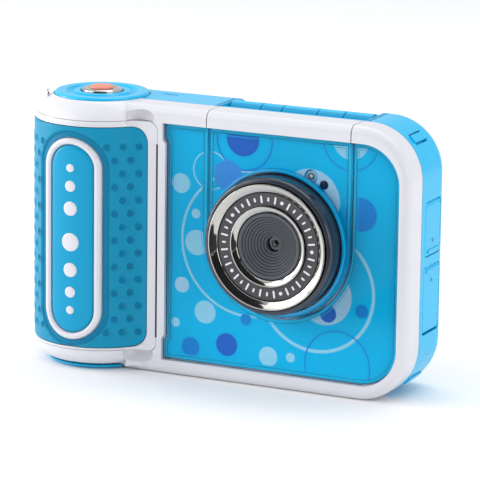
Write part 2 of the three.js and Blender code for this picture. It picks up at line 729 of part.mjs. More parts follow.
// ---- strap loop ----
class LoopCurve extends THREE.Curve {
  getPoint(t) {
    const [[ax, ay], [bx, by]] = LOOP_FEET;
    const w = Math.min(Math.max((t - 0.25) / 0.5, 0), 1);
    const swing = (1 - Math.cos(Math.PI * w)) / 2;
    const rise = t < 0.25 ? 92.6 + 12 * t : t > 0.75 ? 92.6 + 12 * (1 - t) : 95.6 + Math.sin(Math.PI * w);
    return new THREE.Vector3(ax + (bx - ax) * swing, ay + (by - ay) * swing, rise);
  }
}
const wire = new THREE.ExtrudeGeometry(shapeOf(circle(0, 0, 0.5, 6)), {
  steps: 10,
  bevelEnabled: false,
  extrudePath: new LoopCurve(),
});
part('strap_loop', solid(wire), CHROME, 0.15, 1);

// ---- side flaps, hinged on stub pins at the ends furthest apart ----
function flap({ y0, y1, z0, z1 }, axisZ, free) {
  const plate = box(RIGHT - WALL, RIGHT, y0, y1, Math.min(axisZ, free), Math.max(axisZ, free));
  const inward = Math.sign(axisZ - free);
  const ledge = [free + 0.8 * inward, free + 2.2 * inward].sort((a, b) => a - b);
  return add(
    plate,
    rodY(FLAP.axisX, axisZ, 1, y0, y1, 16),
    rodY(FLAP.axisX, axisZ, FLAP.pin, y0 - 0.85, y1 + 0.85, 10),
    box(RIGHT - 0.5, RIGHT + FLAP.ledge, y0 + 2.6, y1 - 0.6, ...ledge),
    box(RIGHT - WALL - 1, RIGHT - WALL + 0.2, y0 + 2.5, y1 - 2.5, z0 + 6, z1 - 5),
  );
}
part('usb_flap', flap(USB, USB.z1, USB.z0), BLUE, 0.4);
part('sd_flap', flap(SD, SD.z0, SD.z1), BLUE, 0.4);

// ---- electronics ----
part('main_board', box(-7.5, 70.5, 10.6, 12.2, 16, 80), 0x1c6b3c, 0.5);
part('battery_pack', box(2, 52, 0.2, 9.6, 24, 62), 0x3b5f9c, 0.5);
part('usb_socket', cut(
  box(64.6, 70.4, 7.4, 10.3, 55.4, 63.4),
  box(66, 73, 8, 9.7, 56, 62.8),
), STEEL, 0.3, 1);
part('sd_socket', cut(
  box(55.5, 70.4, 7.4, 10.3, 27, 42),
  box(57, 73, 8.2, 9.5, 28.6, 40.4),
), STEEL, 0.3, 1);
part('speaker', rodY(-24, 13.4, 5.8, 15.8, 19.6, 16), 0x33363b, 0.5);
part('lcd_module', box(2, 62, 16.2, 19.9, 22, 76), 0x22252a, 0.4);
part('screen_frame', cut(
  alongY(roundRect(SCREEN.x0, SCREEN.x1, SCREEN.z0, SCREEN.z1, 4), 20.3, 22.8),
  box(3.5, 60.5, 19, 24, 24, 74),
), WHITE, 0.35);
part('screen_window', box(3.8, 60.2, 20.5, 21.9, 24.3, 73.7), 0x11151c, 0.05);

// ---- controls on the back ----
part('dpad_pivot', latheY(ringProfile(5.4, 7, 15.2, 16.6), DPAD.x, DPAD.z, 16), 0x6b6f75, 0.5);
part('dpad', latheY([
  [5, 17.4],
  [12.6, 17.4],
  [12.6, 18.6],
  [DPAD.r, 18.6],
  [DPAD.r, 22.6],
  [DPAD.r - 0.6, 23.2],
  [5.6, 22.9],
  [5, 22.4],
  [5, 17.4],
], DPAD.x, DPAD.z, 16), WHITE, 0.35);
part('ok_button', latheY([
  [0, 15.4],
  [4.2, 15.4],
  [4.2, 22.7],
  [3.6, 23.3],
  [0, 23.4],
], DPAD.x, DPAD.z, 10), 0xf2a23a, 0.35);
part('button_board', box(-34, -13, 13.4, 14.8, 20, 62), 0x1c6b3c, 0.5);
Object.entries(BUTTONS).forEach(([name, [x, z]]) => {
  part(`${name}_button`, latheY([
    [0, 18.2],
    [5.2, 18.2],
    [5.2, 19.6],
    [3.9, 19.6],
    [3.9, 22.4],
    [3.3, 22.9],
    [0, 23.1],
  ], x, z, 10), WHITE, 0.35);
});

// ---- case screws ----
SCREWS.forEach(([x, z], i) => {
  part(`case_screw_${i + 1}`, latheY([
    [0, -5.8],
    [1.1, -5.8],
    [1.1, 12.3],
    [2.3, 12.3],
    [2.3, 13.6],
    [1.7, 14],
    [0, 14],
  ], x, z, 8), STEEL, 0.35, 1);
});

const group = new THREE.Group();
group.name = 'kids_print_camera';
meshes.forEach((mesh) => group.add(mesh));
export default group;
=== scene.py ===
"""Looks of the kids' instant-print camera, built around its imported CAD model."""

import math

import bmesh
import bpy
import numpy as np
from mathutils import Matrix, Vector


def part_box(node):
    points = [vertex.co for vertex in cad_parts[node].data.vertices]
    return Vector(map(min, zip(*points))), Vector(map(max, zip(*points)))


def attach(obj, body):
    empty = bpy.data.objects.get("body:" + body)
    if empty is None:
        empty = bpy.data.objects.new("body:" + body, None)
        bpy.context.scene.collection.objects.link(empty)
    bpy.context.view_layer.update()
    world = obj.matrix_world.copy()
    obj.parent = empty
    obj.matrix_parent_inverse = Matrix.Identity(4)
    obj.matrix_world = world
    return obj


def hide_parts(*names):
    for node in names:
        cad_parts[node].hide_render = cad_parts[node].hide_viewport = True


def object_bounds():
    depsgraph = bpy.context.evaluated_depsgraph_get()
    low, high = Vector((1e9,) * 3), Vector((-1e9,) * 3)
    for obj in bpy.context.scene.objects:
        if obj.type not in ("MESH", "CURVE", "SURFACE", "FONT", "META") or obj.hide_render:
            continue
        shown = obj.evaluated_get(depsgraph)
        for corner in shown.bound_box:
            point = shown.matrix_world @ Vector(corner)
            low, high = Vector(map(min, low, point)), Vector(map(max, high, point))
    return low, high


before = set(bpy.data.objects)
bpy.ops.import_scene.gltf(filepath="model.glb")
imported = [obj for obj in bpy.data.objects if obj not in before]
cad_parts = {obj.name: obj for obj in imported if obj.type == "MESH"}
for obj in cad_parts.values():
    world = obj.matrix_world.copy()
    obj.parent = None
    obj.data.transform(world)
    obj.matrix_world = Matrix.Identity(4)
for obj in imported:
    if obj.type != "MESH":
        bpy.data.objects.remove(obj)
CAD_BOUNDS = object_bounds()
SCENE = bpy.context.scene
SCENE.view_settings.view_transform = "Standard"
MM = 0.001


# ---- places taken from the frame, in millimetres ----
def limits(node):
    low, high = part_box(node)
    return [(low[k] / MM, high[k] / MM) for k in range(3)]


def middle(node):
    return [sum(pair) / 2 for pair in limits(node)]


GRIP_X, GRIP_Y, _ = middle("button_ring")
GRIP_R = 23.5
GRIP_TOP = 96
GRIP_BOTTOM = 1.8
RIGHT = limits("back_case")[0][1]
BACK = 22
TOP = limits("flip_frame")[2][1]
FRONT = -12.6
WALL = 2
CORNER = 19
FILLET = 8
SPLIT_FRONT = limits("front_case")[1][1]
SPLIT_BACK = -1.85
GAP = 0.3

PLATE_X, PLATE_Y, PLATE_Z = limits("faceplate")
PLATE_TAB = 1.1
PLATE_R = 13.6
TAB_LOW = 13.4
TAB_HIGH = 83.6
SEAT_Y = -9.85
INSERT_Y = limits("face_insert")[1]

LENS_X, _, LENS_Z = middle("lens_barrel")
BARREL_R = (limits("lens_barrel")[0][1] - limits("lens_barrel")[0][0]) / 2
FLIP_HALF = 27
FLASH = (36.1, 76.4)
SENSOR = (41.1, 73.9)
FLIP_Y, FLIP_Z = 8.5, 91.4
KNUCKLE_R = 4.8
FLIP_KNUCKLES = [(-2.3, 9.2), (17.6, 30.6), (41, 51.1)]
CASE_KNUCKLES = [(9.6, 17.2), (31, 40.6)]
BAY_FLOOR = 86.2

DOOR_X1, DOOR_Z0, DOOR_Z1, DOOR_Y1 = -21.75, 8, 89.8, -2.45
SKIN_X1, SKIN_Z0, SKIN_Z1, SKIN_R, SKIN_Y1 = -25.5, 9, 87.7, 6, -4.5
BADGE_Z, BADGE_A, BADGE_B = 47.55, 10.8, 36.05
PLAQUE_A, PLAQUE_B = 8.3, 33.6
DOOR_HINGE_X, DOOR_HINGE_Y, _ = middle("door_hinge_pin")
DOOR_KNUCKLES = [(14, 24), (44, 54), (72, 82)]
CASE_DOOR_KNUCKLES = [(24.4, 43.6), (54.4, 71.6)]

SLOT_X, SLOT_Z = (-22, -21.1), (13, 82.2)
FLAP_AXIS_X, FLAP_CLEAR = 72.6, 1.35
USB_Y, USB_Z = (1.4, 14.8), (49.6, 67.5)
SD_Y, SD_Z = (0.6, 14.8), (23.4, 45.8)
SCREEN_X, SCREEN_Y, SCREEN_Z = limits("screen_frame")
DPAD_X, _, DPAD_Z = middle("dpad")
SCREWS = [middle(f"case_screw_{i}")[::2] for i in (1, 2, 3, 4)]
BUTTONS = {name: middle(name + "_button") for name in ("mode", "play", "print", "erase")}


# ---- outlines ----
def arc(u, v, r, start, end, n):
    angles = np.radians(np.linspace(start, end, n + 1))
    return [(u + r * math.cos(a), v + r * math.sin(a)) for a in angles]


def round_rect(u0, u1, v0, v1, left, right=None, n=10):
    right = left if right is None else right
    nl = 1 if left < 0.4 else n
    nr = 1 if right < 0.4 else n
    left, right = max(left, 0.05), max(right, 0.05)
    return (
        arc(u1 - right, v0 + right, right, -90, 0, nr)
        + arc(u1 - right, v1 - right, right, 0, 90, nr)
        + arc(u0 + left, v1 - left, left, 90, 180, nl)
        + arc(u0 + left, v0 + left, left, 180, 270, nl)
    )


def tongue(half, top, n=72):
    """Straight sides down to a half-round end about the lens."""
    return [(LENS_X + half, top), (LENS_X - half, top)] + arc(LENS_X, LENS_Z, half, 180, 360, n)


# ---- solids, in millimetres until piece() scales them to metres ----
def build(vertices, faces):
    mesh = bpy.data.meshes.new("m")
    mesh.from_pydata([tuple(v) for v in vertices], [], faces)
    obj = bpy.data.objects.new("o", mesh)
    SCENE.collection.objects.link(obj)
    work = bmesh.new()
    work.from_mesh(mesh)
    bmesh.ops.remove_doubles(work, verts=work.verts, dist=1e-5)
    bmesh.ops.recalc_face_normals(work, faces=work.faces)
    work.to_mesh(mesh)
    work.free()
    return obj


def loft(rings):
    """A solid through rings of equal length, with a flat face on each end."""
    n = len(rings[0])
    vertices = [p for ring in rings for p in ring]
    faces = []
    for j in range(len(rings) - 1):
        for i in range(n):
            k = (i + 1) % n
            faces.append((j * n + i, j * n + k, (j + 1) * n + k, (j + 1) * n + i))
    last = (len(rings) - 1) * n
    faces.append(tuple(reversed(range(n))))
    faces.append(tuple(range(last, last + n)))
    return build(vertices, faces)


AXES = {
    "x": lambda u, v, w: (w, u, v),
    "y": lambda u, v, w: (u, w, v),
    "z": lambda u, v, w: (u, v, w),
}


def prism(outline, low, high, axis="y"):
    place = AXES[axis]
    return loft([[place(u, v, w) for u, v in outline] for w in (low, high)])


def slab(outline, low, high, round_low, round_high, axis="y", n=5):
    """A plate with rounded edges. outline(grow) gives the same number of points each time."""
    place = AXES[axis]
    rings = []
    for k in range(n + 1 if round_low else 1):
        t = math.pi / 2 * k / n
        rings.append((-round_low * (1 - math.sin(t)), low + round_low * (1 - math.cos(t))))
    for k in range(n + 1 if round_high else 1):
        t = math.pi / 2 * (1 - k / n)
        rings.append((-round_high * (1 - math.sin(t)), high - round_high * (1 - math.cos(t))))
    return loft([[place(u, v, w) for u, v in outline(grow)] for grow, w in rings])


def box(x0, x1, y0, y1, z0, z1):
    return prism([(x0, y0), (x1, y0), (x1, y1), (x0, y1)], z0, z1, "z")


def rounded(profile, radius, n=4):
    """The same path with its inner corners rounded. A closed path has its first point twice."""
    points = [Vector(p) for p in profile]
    closed = (points[0] - points[-1]).length < 1e-6
    path = points[:-1] if closed else points
    count = len(path)
    out = []
    for i, here in enumerate(path):
        if not closed and i in (0, count - 1):
            out.append(tuple(here))
            continue
        before, after = path[i - 1], path[(i + 1) % count]
        a, b = before - here, after - here
        reach = min(radius, 0.45 * a.length, 0.45 * b.length)
        start, end = here + a.normalized() * reach, here + b.normalized() * reach
        for k in range(n + 1):
            t = k / n
            out.append(tuple((1 - t) ** 2 * start + 2 * t * (1 - t) * here + t**2 * end))
    if closed:
        out.append(out[0])
    return out


def lathe(profile, u, v, axis="z", n=96):
    """A profile of (radius, height), turned about an axis through (u, v)."""
    place = AXES[axis]
    closed = profile[0] == profile[-1]
    path = profile[:-1] if closed else profile
    vertices, rows = [], []
    for r, h in path:
        count = 1 if r < 1e-6 else n
        rows.append(range(len(vertices), len(vertices) + count))
        for i in range(count):
            a = 2 * math.pi * i / n
            vertices.append(place(u + r * math.cos(a), v + r * math.sin(a), h))
    faces = []
    pairs = list(zip(rows, rows[1:])) + ([(rows[-1], rows[0])] if closed else [])
    for one, two in pairs:
        for i in range(n):
            k = (i + 1) % n
            quad = [one[i % len(one)], one[k % len(one)], two[k % len(two)], two[i % len(two)]]
            face = list(dict.fromkeys(quad))
            if len(face) > 2:
                faces.append(face)
    return build(vertices, faces)


def rod(u, v, r, low, high, axis="y", n=48):
    return lathe([(0, low), (r, low), (r, high), (0, high)], u, v, axis, n)


def ring(u, v, r0, r1, low, high, soft=0.3, axis="z", n=96):
    path = [(r0, low), (r1, low), (r1, high), (r0, high), (r0, low)]
    return lathe(rounded(path, soft), u, v, axis, n)


def bake(obj):
    graph = bpy.context.evaluated_depsgraph_get()
    mesh = bpy.data.meshes.new_from_object(obj.evaluated_get(graph))
    obj.modifiers.clear()
    obj.data = mesh
    return obj


def combine(body, tools, operation):
    for tool in tools:
        modifier = body.modifiers.new("b", "BOOLEAN")
        modifier.object = tool
        modifier.operation = operation
        modifier.solver = "MANIFOLD"
        bake(body)
        bpy.data.objects.remove(tool)
    return body


def cut(body, *tools):
    return combine(body, tools, "DIFFERENCE")


def add(body, *tools):
    return combine(body, tools, "UNION")


def both(body, *tools):
    return combine(body, tools, "INTERSECT")


def soften(body, width, segments=2, angle=32):
    modifier = body.modifiers.new("edges", "BEVEL")
    modifier.width = width
    modifier.segments = segments
    modifier.limit_method = "ANGLE"
    modifier.angle_limit = math.radians(angle)
    modifier.use_clamp_overlap = True
    return bake(body)


def together(objects):
    """One object from several that do not touch."""
    work = bmesh.new()
    for obj in objects:
        work.from_mesh(obj.data)
        bpy.data.objects.remove(obj)
    mesh = bpy.data.meshes.new("m")
    work.to_mesh(mesh)
    work.free()
    joined = bpy.data.objects.new("o", mesh)
    SCENE.collection.objects.link(joined)
    return joined


def piece(obj, name, body, material, replaced=(), smooth=35):
    obj.name = name
    mesh = obj.data
    mesh.name = name
    mesh.transform(Matrix.Scale(MM, 4))
    mesh.materials.clear()
    mesh.materials.append(material)
    mesh.polygons.foreach_set("use_smooth", [True] * len(mesh.polygons))
    mesh.polygons.foreach_set("material_index", [0] * len(mesh.polygons))
    mesh.set_sharp_from_angle(angle=math.radians(smooth))
    weighted = obj.modifiers.new("normals", "WEIGHTED_NORMAL")
    weighted.keep_sharp = True
    bake(obj)
    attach(obj, body)
    if replaced:
        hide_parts(*replaced)
    return obj


def recolour(obj, material, chosen):
    """Give a second material to the faces whose middles chosen(x, y, z) picks out."""
    obj.data.materials.append(material)
    count = len(obj.data.polygons)
    centres = np.empty(count * 3)
    obj.data.polygons.foreach_get("center", centres)
    x, y, z = centres.reshape(-1, 3).T / MM
    obj.data.polygons.foreach_set("material_index", chosen(x, y, z).astype(np.int32))


# ---- materials ----
def surface(name, colour, roughness, metallic=0.0, grain=0.02, grain_size=0.6, mottle=0.04, coat=0.0,
            specular=0.5, transmission=0.0, ior=1.5):
    """Moulded surface: colour that varies slightly, roughness in patches, and a fine grain in relief."""
    material = bpy.data.materials.new(name)
    material.use_nodes = True
    nodes, links = material.node_tree.nodes, material.node_tree.links
    shader = nodes["Principled BSDF"]
    shader.inputs["Metallic"].default_value = metallic
    shader.inputs["IOR"].default_value = ior
    shader.inputs["Specular IOR Level"].default_value = specular
    shader.inputs["Coat Weight"].default_value = coat
    shader.inputs["Coat Roughness"].default_value = 0.05
    shader.inputs["Transmission Weight"].default_value = transmission
    where = nodes.new("ShaderNodeTexCoord")
    patches = nodes.new("ShaderNodeTexNoise")
    patches.inputs["Scale"].default_value = 90
    patches.inputs["Detail"].default_value = 4
    links.new(where.outputs["Object"], patches.inputs["Vector"])
    tint = nodes.new("ShaderNodeMix")
    tint.data_type = "RGBA"
    tint.inputs["A"].default_value = (*[c * (1 - mottle) for c in colour], 1)
    tint.inputs["B"].default_value = (*[min(1, c * (1 + mottle)) for c in colour], 1)
    links.new(patches.outputs["Fac"], tint.inputs["Factor"])
    links.new(tint.outputs["Result"], shader.inputs["Base Color"])
    rough = nodes.new("ShaderNodeMapRange")
    rough.inputs["To Min"].default_value = max(0.02, roughness * 0.8)
    rough.inputs["To Max"].default_value = min(1, roughness * 1.25)
    links.new(patches.outputs["Fac"], rough.inputs["Value"])
    links.new(rough.outputs["Result"], shader.inputs["Roughness"])
    fine = nodes.new("ShaderNodeTexNoise")
    fine.inputs["Scale"].default_value = 1000 / grain_size
    fine.inputs["Detail"].default_value = 3
    links.new(where.outputs["Object"], fine.inputs["Vector"])
    relief = nodes.new("ShaderNodeBump")
    relief.inputs["Strength"].default_value = 1
    relief.inputs["Distance"].default_value = grain * MM
    links.new(fine.outputs["Fac"], relief.inputs["Height"])
    links.new(relief.outputs["Normal"], shader.inputs["Normal"])
    return material


def let_lamps_through(material, tint):
    """Light from lamps passes straight through the clear plates, as it does through thin acrylic."""
    nodes, links = material.node_tree.nodes, material.node_tree.links
    shader = nodes["Principled BSDF"]
    out = nodes["Material Output"]
    path = nodes.new("ShaderNodeLightPath")
    open_air = nodes.new("ShaderNodeBsdfTransparent")
    open_air.inputs["Color"].default_value = (*tint, 1)
    mix = nodes.new("ShaderNodeMixShader")
    links.new(path.outputs["Is Shadow Ray"], mix.inputs["Fac"])
    links.new(shader.outputs["BSDF"], mix.inputs[1])
    links.new(open_air.outputs["BSDF"], mix.inputs[2])
    links.new(mix.outputs["Shader"], out.inputs["Surface"])
    return material


WHITE = surface("white_plastic", (0.68, 0.67, 0.71), 0.30, grain=0.004, coat=0.1, mottle=0.02)
BLUE = surface("blue_plastic", (0.002, 0.46, 0.78), 0.26, grain=0.005, specular=0.4)
# A darker copy of the blue plastic: painted shade for the trough in front of the flip door's hinge barrel.
BLUE_PAINTED_SHADE = surface("blue_painted_shade", (0.001, 0.29, 0.53), 0.36, grain=0.01, specular=0.3)
SKIN = surface("grip_rubber", (0.001, 0.255, 0.43), 0.40, grain=0.02, grain_size=0.25, specular=0.2)
# A darker copy of the grip rubber: painted shade for the dimples and the moat round the badge.
SKIN_PAINTED_SHADE = surface("grip_painted_shade", (0.001, 0.19, 0.345), 0.50, grain=0.02, grain_size=0.25, specular=0.2)
PLAQUE = surface("plaque_blue", (0.001, 0.31, 0.54), 0.34, grain=0.01, grain_size=0.3, specular=0.25)
INSERT = surface("printed_blue", (0.0, 0.55, 0.97), 0.5, grain=0.002, specular=0.1)
CLEAR = let_lamps_through(
    surface("clear_acrylic", (0.94, 0.99, 1.0), 0.03, grain=0.001, transmission=1.0, ior=1.13, mottle=0.0),
    (0.96, 0.99, 1.0),
)
# Painted highlight and painted shade: lighter and darker blue lines that stand in for light bent by the clear
# plates' edges.
EDGE_PAINTED_HIGHLIGHT = surface("plate_edge_painted_highlight", (0.02, 0.58, 0.92), 0.4, grain=0.002, specular=0.1)
EDGE_PAINTED_SHADE = surface("plate_edge_painted_shade", (0.001, 0.26, 0.55), 0.4, grain=0.002, specular=0.1)
COLLAR = surface("collar_blue", (0.002, 0.33, 0.66), 0.12, grain=0.002, coat=0.3)
DARK = surface("dark_gloss", (0.024, 0.030, 0.044), 0.2, grain=0.003, coat=0.3)
RING_GREY = surface("scale_ring", (0.058, 0.055, 0.060), 0.38, grain=0.006, grain_size=0.3)
CONE_GREY = surface("cone_grey", (0.085, 0.092, 0.105), 0.34, grain=0.006, metallic=0.2, grain_size=0.3)
CHROME = surface("chrome", (0.55, 0.53, 0.50), 0.08, metallic=1.0, grain=0.002, mottle=0.015)
STEEL = surface("steel", (0.48, 0.49, 0.51), 0.30, metallic=1.0, grain=0.006, grain_size=0.2)
GLASS_BLACK = surface("lens_glass", (0.006, 0.007, 0.012), 0.05, grain=0.001, coat=1.0)
SENSOR_NAVY = surface("sensor_navy", (0.010, 0.018, 0.075), 0.2, grain=0.001)
# The flash's small dome: the LED_PAINTED_GLINT lens, its white a painted glint.
LED_PAINTED_GLINT = surface("led_painted_glint", (0.80, 0.82, 0.78), 0.2, grain=0.01, coat=0.6)
SALMON = surface("cap_salmon", (0.80, 0.24, 0.17), 0.34, grain=0.006)
ORANGE = surface("ok_orange", (0.86, 0.36, 0.05), 0.34, grain=0.006)
# Painted shadow: a black strip where the paper slot shows only shade.
SLOT_PAINTED_SHADOW = surface("slot_painted_shadow", (0.004, 0.004, 0.005), 0.6, grain=0.01, specular=0.1)
SCREEN_BLACK = surface("screen_glass", (0.006, 0.008, 0.012), 0.06, grain=0.001, coat=1.0)
INK = surface("icon_ink", (0.004, 0.20, 0.46), 0.4, grain=0.004)
TICK = surface("tick_white", (0.74, 0.74, 0.78), 0.4, grain=0.004)
RUBBER = surface("roller_rubber", (0.014, 0.014, 0.016), 0.6, grain=0.02, grain_size=0.2)
PAPER = surface("paper", (0.86, 0.85, 0.82), 0.75, grain=0.02, grain_size=0.15)
GEAR = surface("gear_nylon", (0.78, 0.75, 0.66), 0.42, grain=0.008)
BAY_WHITE = surface("bay_white", (0.62, 0.64, 0.68), 0.42, grain=0.01)
CERAMIC = surface("head_ceramic", (0.55, 0.55, 0.52), 0.4, grain=0.008)
BOARD = surface("board_green", (0.01, 0.12, 0.05), 0.45, grain=0.01)
CELL = surface("battery_wrap", (0.03, 0.10, 0.28), 0.4, grain=0.01)
GREY = surface("pivot_grey", (0.14, 0.15, 0.16), 0.5, grain=0.01)
PRINT = {
    "light": surface("print_light", (0.36, 0.75, 1.0), 0.5, grain=0.002, specular=0.1),
    "pale": surface("print_pale", (0.44, 0.74, 1.0), 0.5, grain=0.002, specular=0.1),
    "mid": surface("print_mid", (0.012, 0.27, 0.78), 0.5, grain=0.002, specular=0.1),
    "royal": surface("print_royal", (0.022, 0.15, 0.66), 0.5, grain=0.002, specular=0.1),
    "lilac": surface("print_lilac", (0.06, 0.34, 0.90), 0.5, grain=0.002, specular=0.1),
}


# ---- the outside of the camera, moved inwards by d ----
def bezier(points, n):
    a, b, c, d = [Vector(p) for p in points]
    steps = [k / n for k in range(n + 1)]
    return [
        tuple((1 - t) ** 3 * a + 3 * t * (1 - t) ** 2 * b + 3 * t * t * (1 - t) * c + t**3 * d)
        for t in steps
    ]


def body_block(d, corner=16, n_front=7, n_back=10):
    front = FRONT + d
    rings = []

    def inset(y, i):
        outline = round_rect(GRIP_X, RIGHT - d - i, d + i, TOP - d - i, 0.5, CORNER - d - i, corner)
        rings.append([(x, y, z) for x, z in outline])

    for k in range(n_front + 1):
        a = math.pi / 2 * k / n_front
        inset(front + 3.2 * (1 - math.cos(a)), 3.2 * (1 - math.sin(a)))
    r = 8 - d
    for k in reversed(range(n_back + 1)):
        a = math.pi / 2 * k / n_back
        inset(BACK - d - r * (1 - math.cos(a)), r * (1 - math.sin(a)))
    return loft(rings)


def fillet_prism(d, n=18):
    front = FRONT + d
    r = FILLET + d
    grip = GRIP_R - d
    cy = front - r
    cx = GRIP_X + math.sqrt((grip + r) ** 2 - cy**2)
    start = math.degrees(math.atan2(GRIP_Y - cy, GRIP_X - cx))
    curve = arc(cx, cy, r, start, 90, n)
    return prism(curve + [(cx, front + 3), (GRIP_X + grip - 8, front + 3)], 2 + d, 93.6 - d, "z")


def grip_lathe(d, n=160):
    r = GRIP_R - d
    low = [
        (r - 6.9 + 6.9 * math.sin(t), GRIP_BOTTOM + 4.6 - (4.6 - d) * math.cos(t))
        for t in np.linspace(0, math.pi / 2, 10)
    ]
    high = bezier([(r, 88), (r, 90), (r - 3.6, 94.9 - d), (r - 6.6, GRIP_TOP - d)], 10)
    path = [(0, GRIP_BOTTOM + d)] + low + high + [(0, GRIP_TOP - d)]
    return lathe(path, GRIP_X, GRIP_Y, "z", n)


def outside(d):
    foot = box(GRIP_X - 1, -34.6, -30, 30, -1, GRIP_BOTTOM + d)
    return add(grip_lathe(d), cut(body_block(d), foot), fillet_prism(d))


def inside():
    grip = lathe([
        (0, 5.8), (18.6, 5.8), (20.4, 6.8), (GRIP_R - WALL, 8.6),
        (GRIP_R - WALL, 88), (20.4, 90.2), (18.6, 91.6), (0, 91.6),
    ], GRIP_X, GRIP_Y, "z", 96)
    front = SEAT_Y + WALL
    rings = []
    for k in range(4):
        a = math.pi / 2 * k / 3
        i = 3.2 * (1 - math.sin(a))
        outline = round_rect(GRIP_X, RIGHT - WALL - i, WALL + i, TOP - WALL - i, 0.5, CORNER - WALL - i, 8)
        rings.append([(x, front + 3.2 * (1 - math.cos(a)), z) for x, z in outline])
    for k in reversed(range(5)):
        a = math.pi / 2 * k / 4
        i = 6 * (1 - math.sin(a))
        outline = round_rect(GRIP_X, RIGHT - WALL - i, WALL + i, TOP - WALL - i, 0.5, CORNER - WALL - i, 8)
        rings.append([(x, BACK - WALL - 6 * (1 - math.cos(a)), z) for x, z in outline])
    body = cut(
        loft(rings),
        box(GRIP_X - 1, -32.6, -30, 30, 0, 5.8),
        box(GRIP_X - 1, -32, -30, 30, 91.6, 96),
    )
    return add(grip, body)


def copy_of(obj):
    twin = bpy.data.objects.new("o", obj.data.copy())
    SCENE.collection.objects.link(twin)
    return twin


def ball(x, y, z, rx, ry, rz):
    profile = [(math.sin(t), -math.cos(t)) for t in np.linspace(0, math.pi, 25)]
    profile[0], profile[-1] = (0, -1), (0, 1)
    obj = lathe(profile, 0, 0, "z", 48)
    obj.data.transform(Matrix.Translation((x, y, z)) @ Matrix.Diagonal((rx, ry, rz, 1)))
    return obj


whole = outside(0)
shell = cut(copy_of(whole), inside())


# ---- plate outlines ----
def plate_rect(grow):
    x0, x1 = PLATE_X[0] + PLATE_TAB - grow, PLATE_X[1] + grow
    z0, z1 = PLATE_Z[0] - grow, PLATE_Z[1] + grow
    return round_rect(x0, x1, z0, z1, 0.6, PLATE_R + grow, 16)


def shoulder(x0, z0, x1, z1, n=8):
    """A soft step from one upright line to the next."""
    return [
        (x0 + (x1 - x0) * (0.5 - 0.5 * math.cos(math.pi * k / n)), z0 + (z1 - z0) * k / n)
        for k in range(n + 1)
    ]


def plate_left(grow):
    x0 = PLATE_X[0] - grow
    step = x0 + PLATE_TAB
    high, low = TAB_HIGH - grow, TAB_LOW + grow
    return (
        [(x0, PLATE_Z[1] + grow)]
        + shoulder(x0, high + 0.9, step, high - 0.9)
        + shoulder(step, low + 0.9, x0, low - 0.9)
        + [(x0, PLATE_Z[0] - grow)]
    )


def plate_right(grow):
    x1, z0, z1 = PLATE_X[1] + grow, PLATE_Z[0] - grow, PLATE_Z[1] + grow
    r = PLATE_R + grow
    return arc(x1 - r, z0 + r, r, -90, 0, 16) + arc(x1 - r, z1 - r, r, 0, 90, 16)


def plate_block(grow, y0, y1):
    return prism(plate_left(grow) + plate_right(grow), y0, y1)


def plate_outline(grow):
    """The fixed plate: a frame open at the top, round the flip door."""
    hole = FLIP_HALF + 0.4 - grow
    z1 = PLATE_Z[1] + grow
    return (
        [(LENS_X - hole, z1)] + plate_left(grow) + plate_right(grow)
        + [(LENS_X + hole, z1)] + arc(LENS_X, LENS_Z, hole, 360, 180, 72)
    )


def door_prism(grow, y1):
    outline = round_rect(-80, DOOR_X1 + grow, DOOR_Z0 - grow, DOOR_Z1 + grow, 0.1, 3, 8)
    return prism(outline, -40, y1)


def ring_recess():
    return lathe([(0, 93.6), (17.1, 93.6), (17.1, 99), (0, 99)], GRIP_X, GRIP_Y, "z", 128)


# ---- cases ----
def front_case():
    body = both(copy_of(shell), box(-90, 90, -40, SPLIT_FRONT, -1, 110))
    body = cut(
        body,
        plate_block(GAP, -20, SEAT_Y),
        prism(tongue(FLIP_HALF + 0.4, 110), -30, 5),
        door_prism(0.16, 5),
        ball(-27.5, FRONT - 2.6, 91.2, 5.6, 5, 3.6),
        ball(-27.5, FRONT - 2.6, 6.6, 5.6, 5, 3.6),
        ring_recess(),
        rod(GRIP_X, GRIP_Y, 8.4, 90, 95, "z", 64),
        box(SLOT_X[0], SLOT_X[1] - 0.3, -20, -8, *SLOT_Z),
    )
    return soften(body, 0.22)


piece(front_case(), "case_front", "case", WHITE, ["front_case"])


def turned(x0, x1, y0, y1, z0, z1, angle, cx, cz):
    obj = box(x0, x1, y0, y1, z0, z1)
    obj.data.transform(Matrix.Translation((cx, 0, cz)) @ Matrix.Rotation(-angle, 4, "Y"))
    return obj


def flap_opening(sides, low, high):
    return prism(round_rect(sides[0] - 0.2, sides[1] + 0.2, low, high, 1.6), RIGHT - 4, RIGHT + 2, "x")


def screen_outline(grow, r):
    return round_rect(SCREEN_X[0] - grow, SCREEN_X[1] + grow, SCREEN_Z[0] - grow, SCREEN_Z[1] + grow, r)


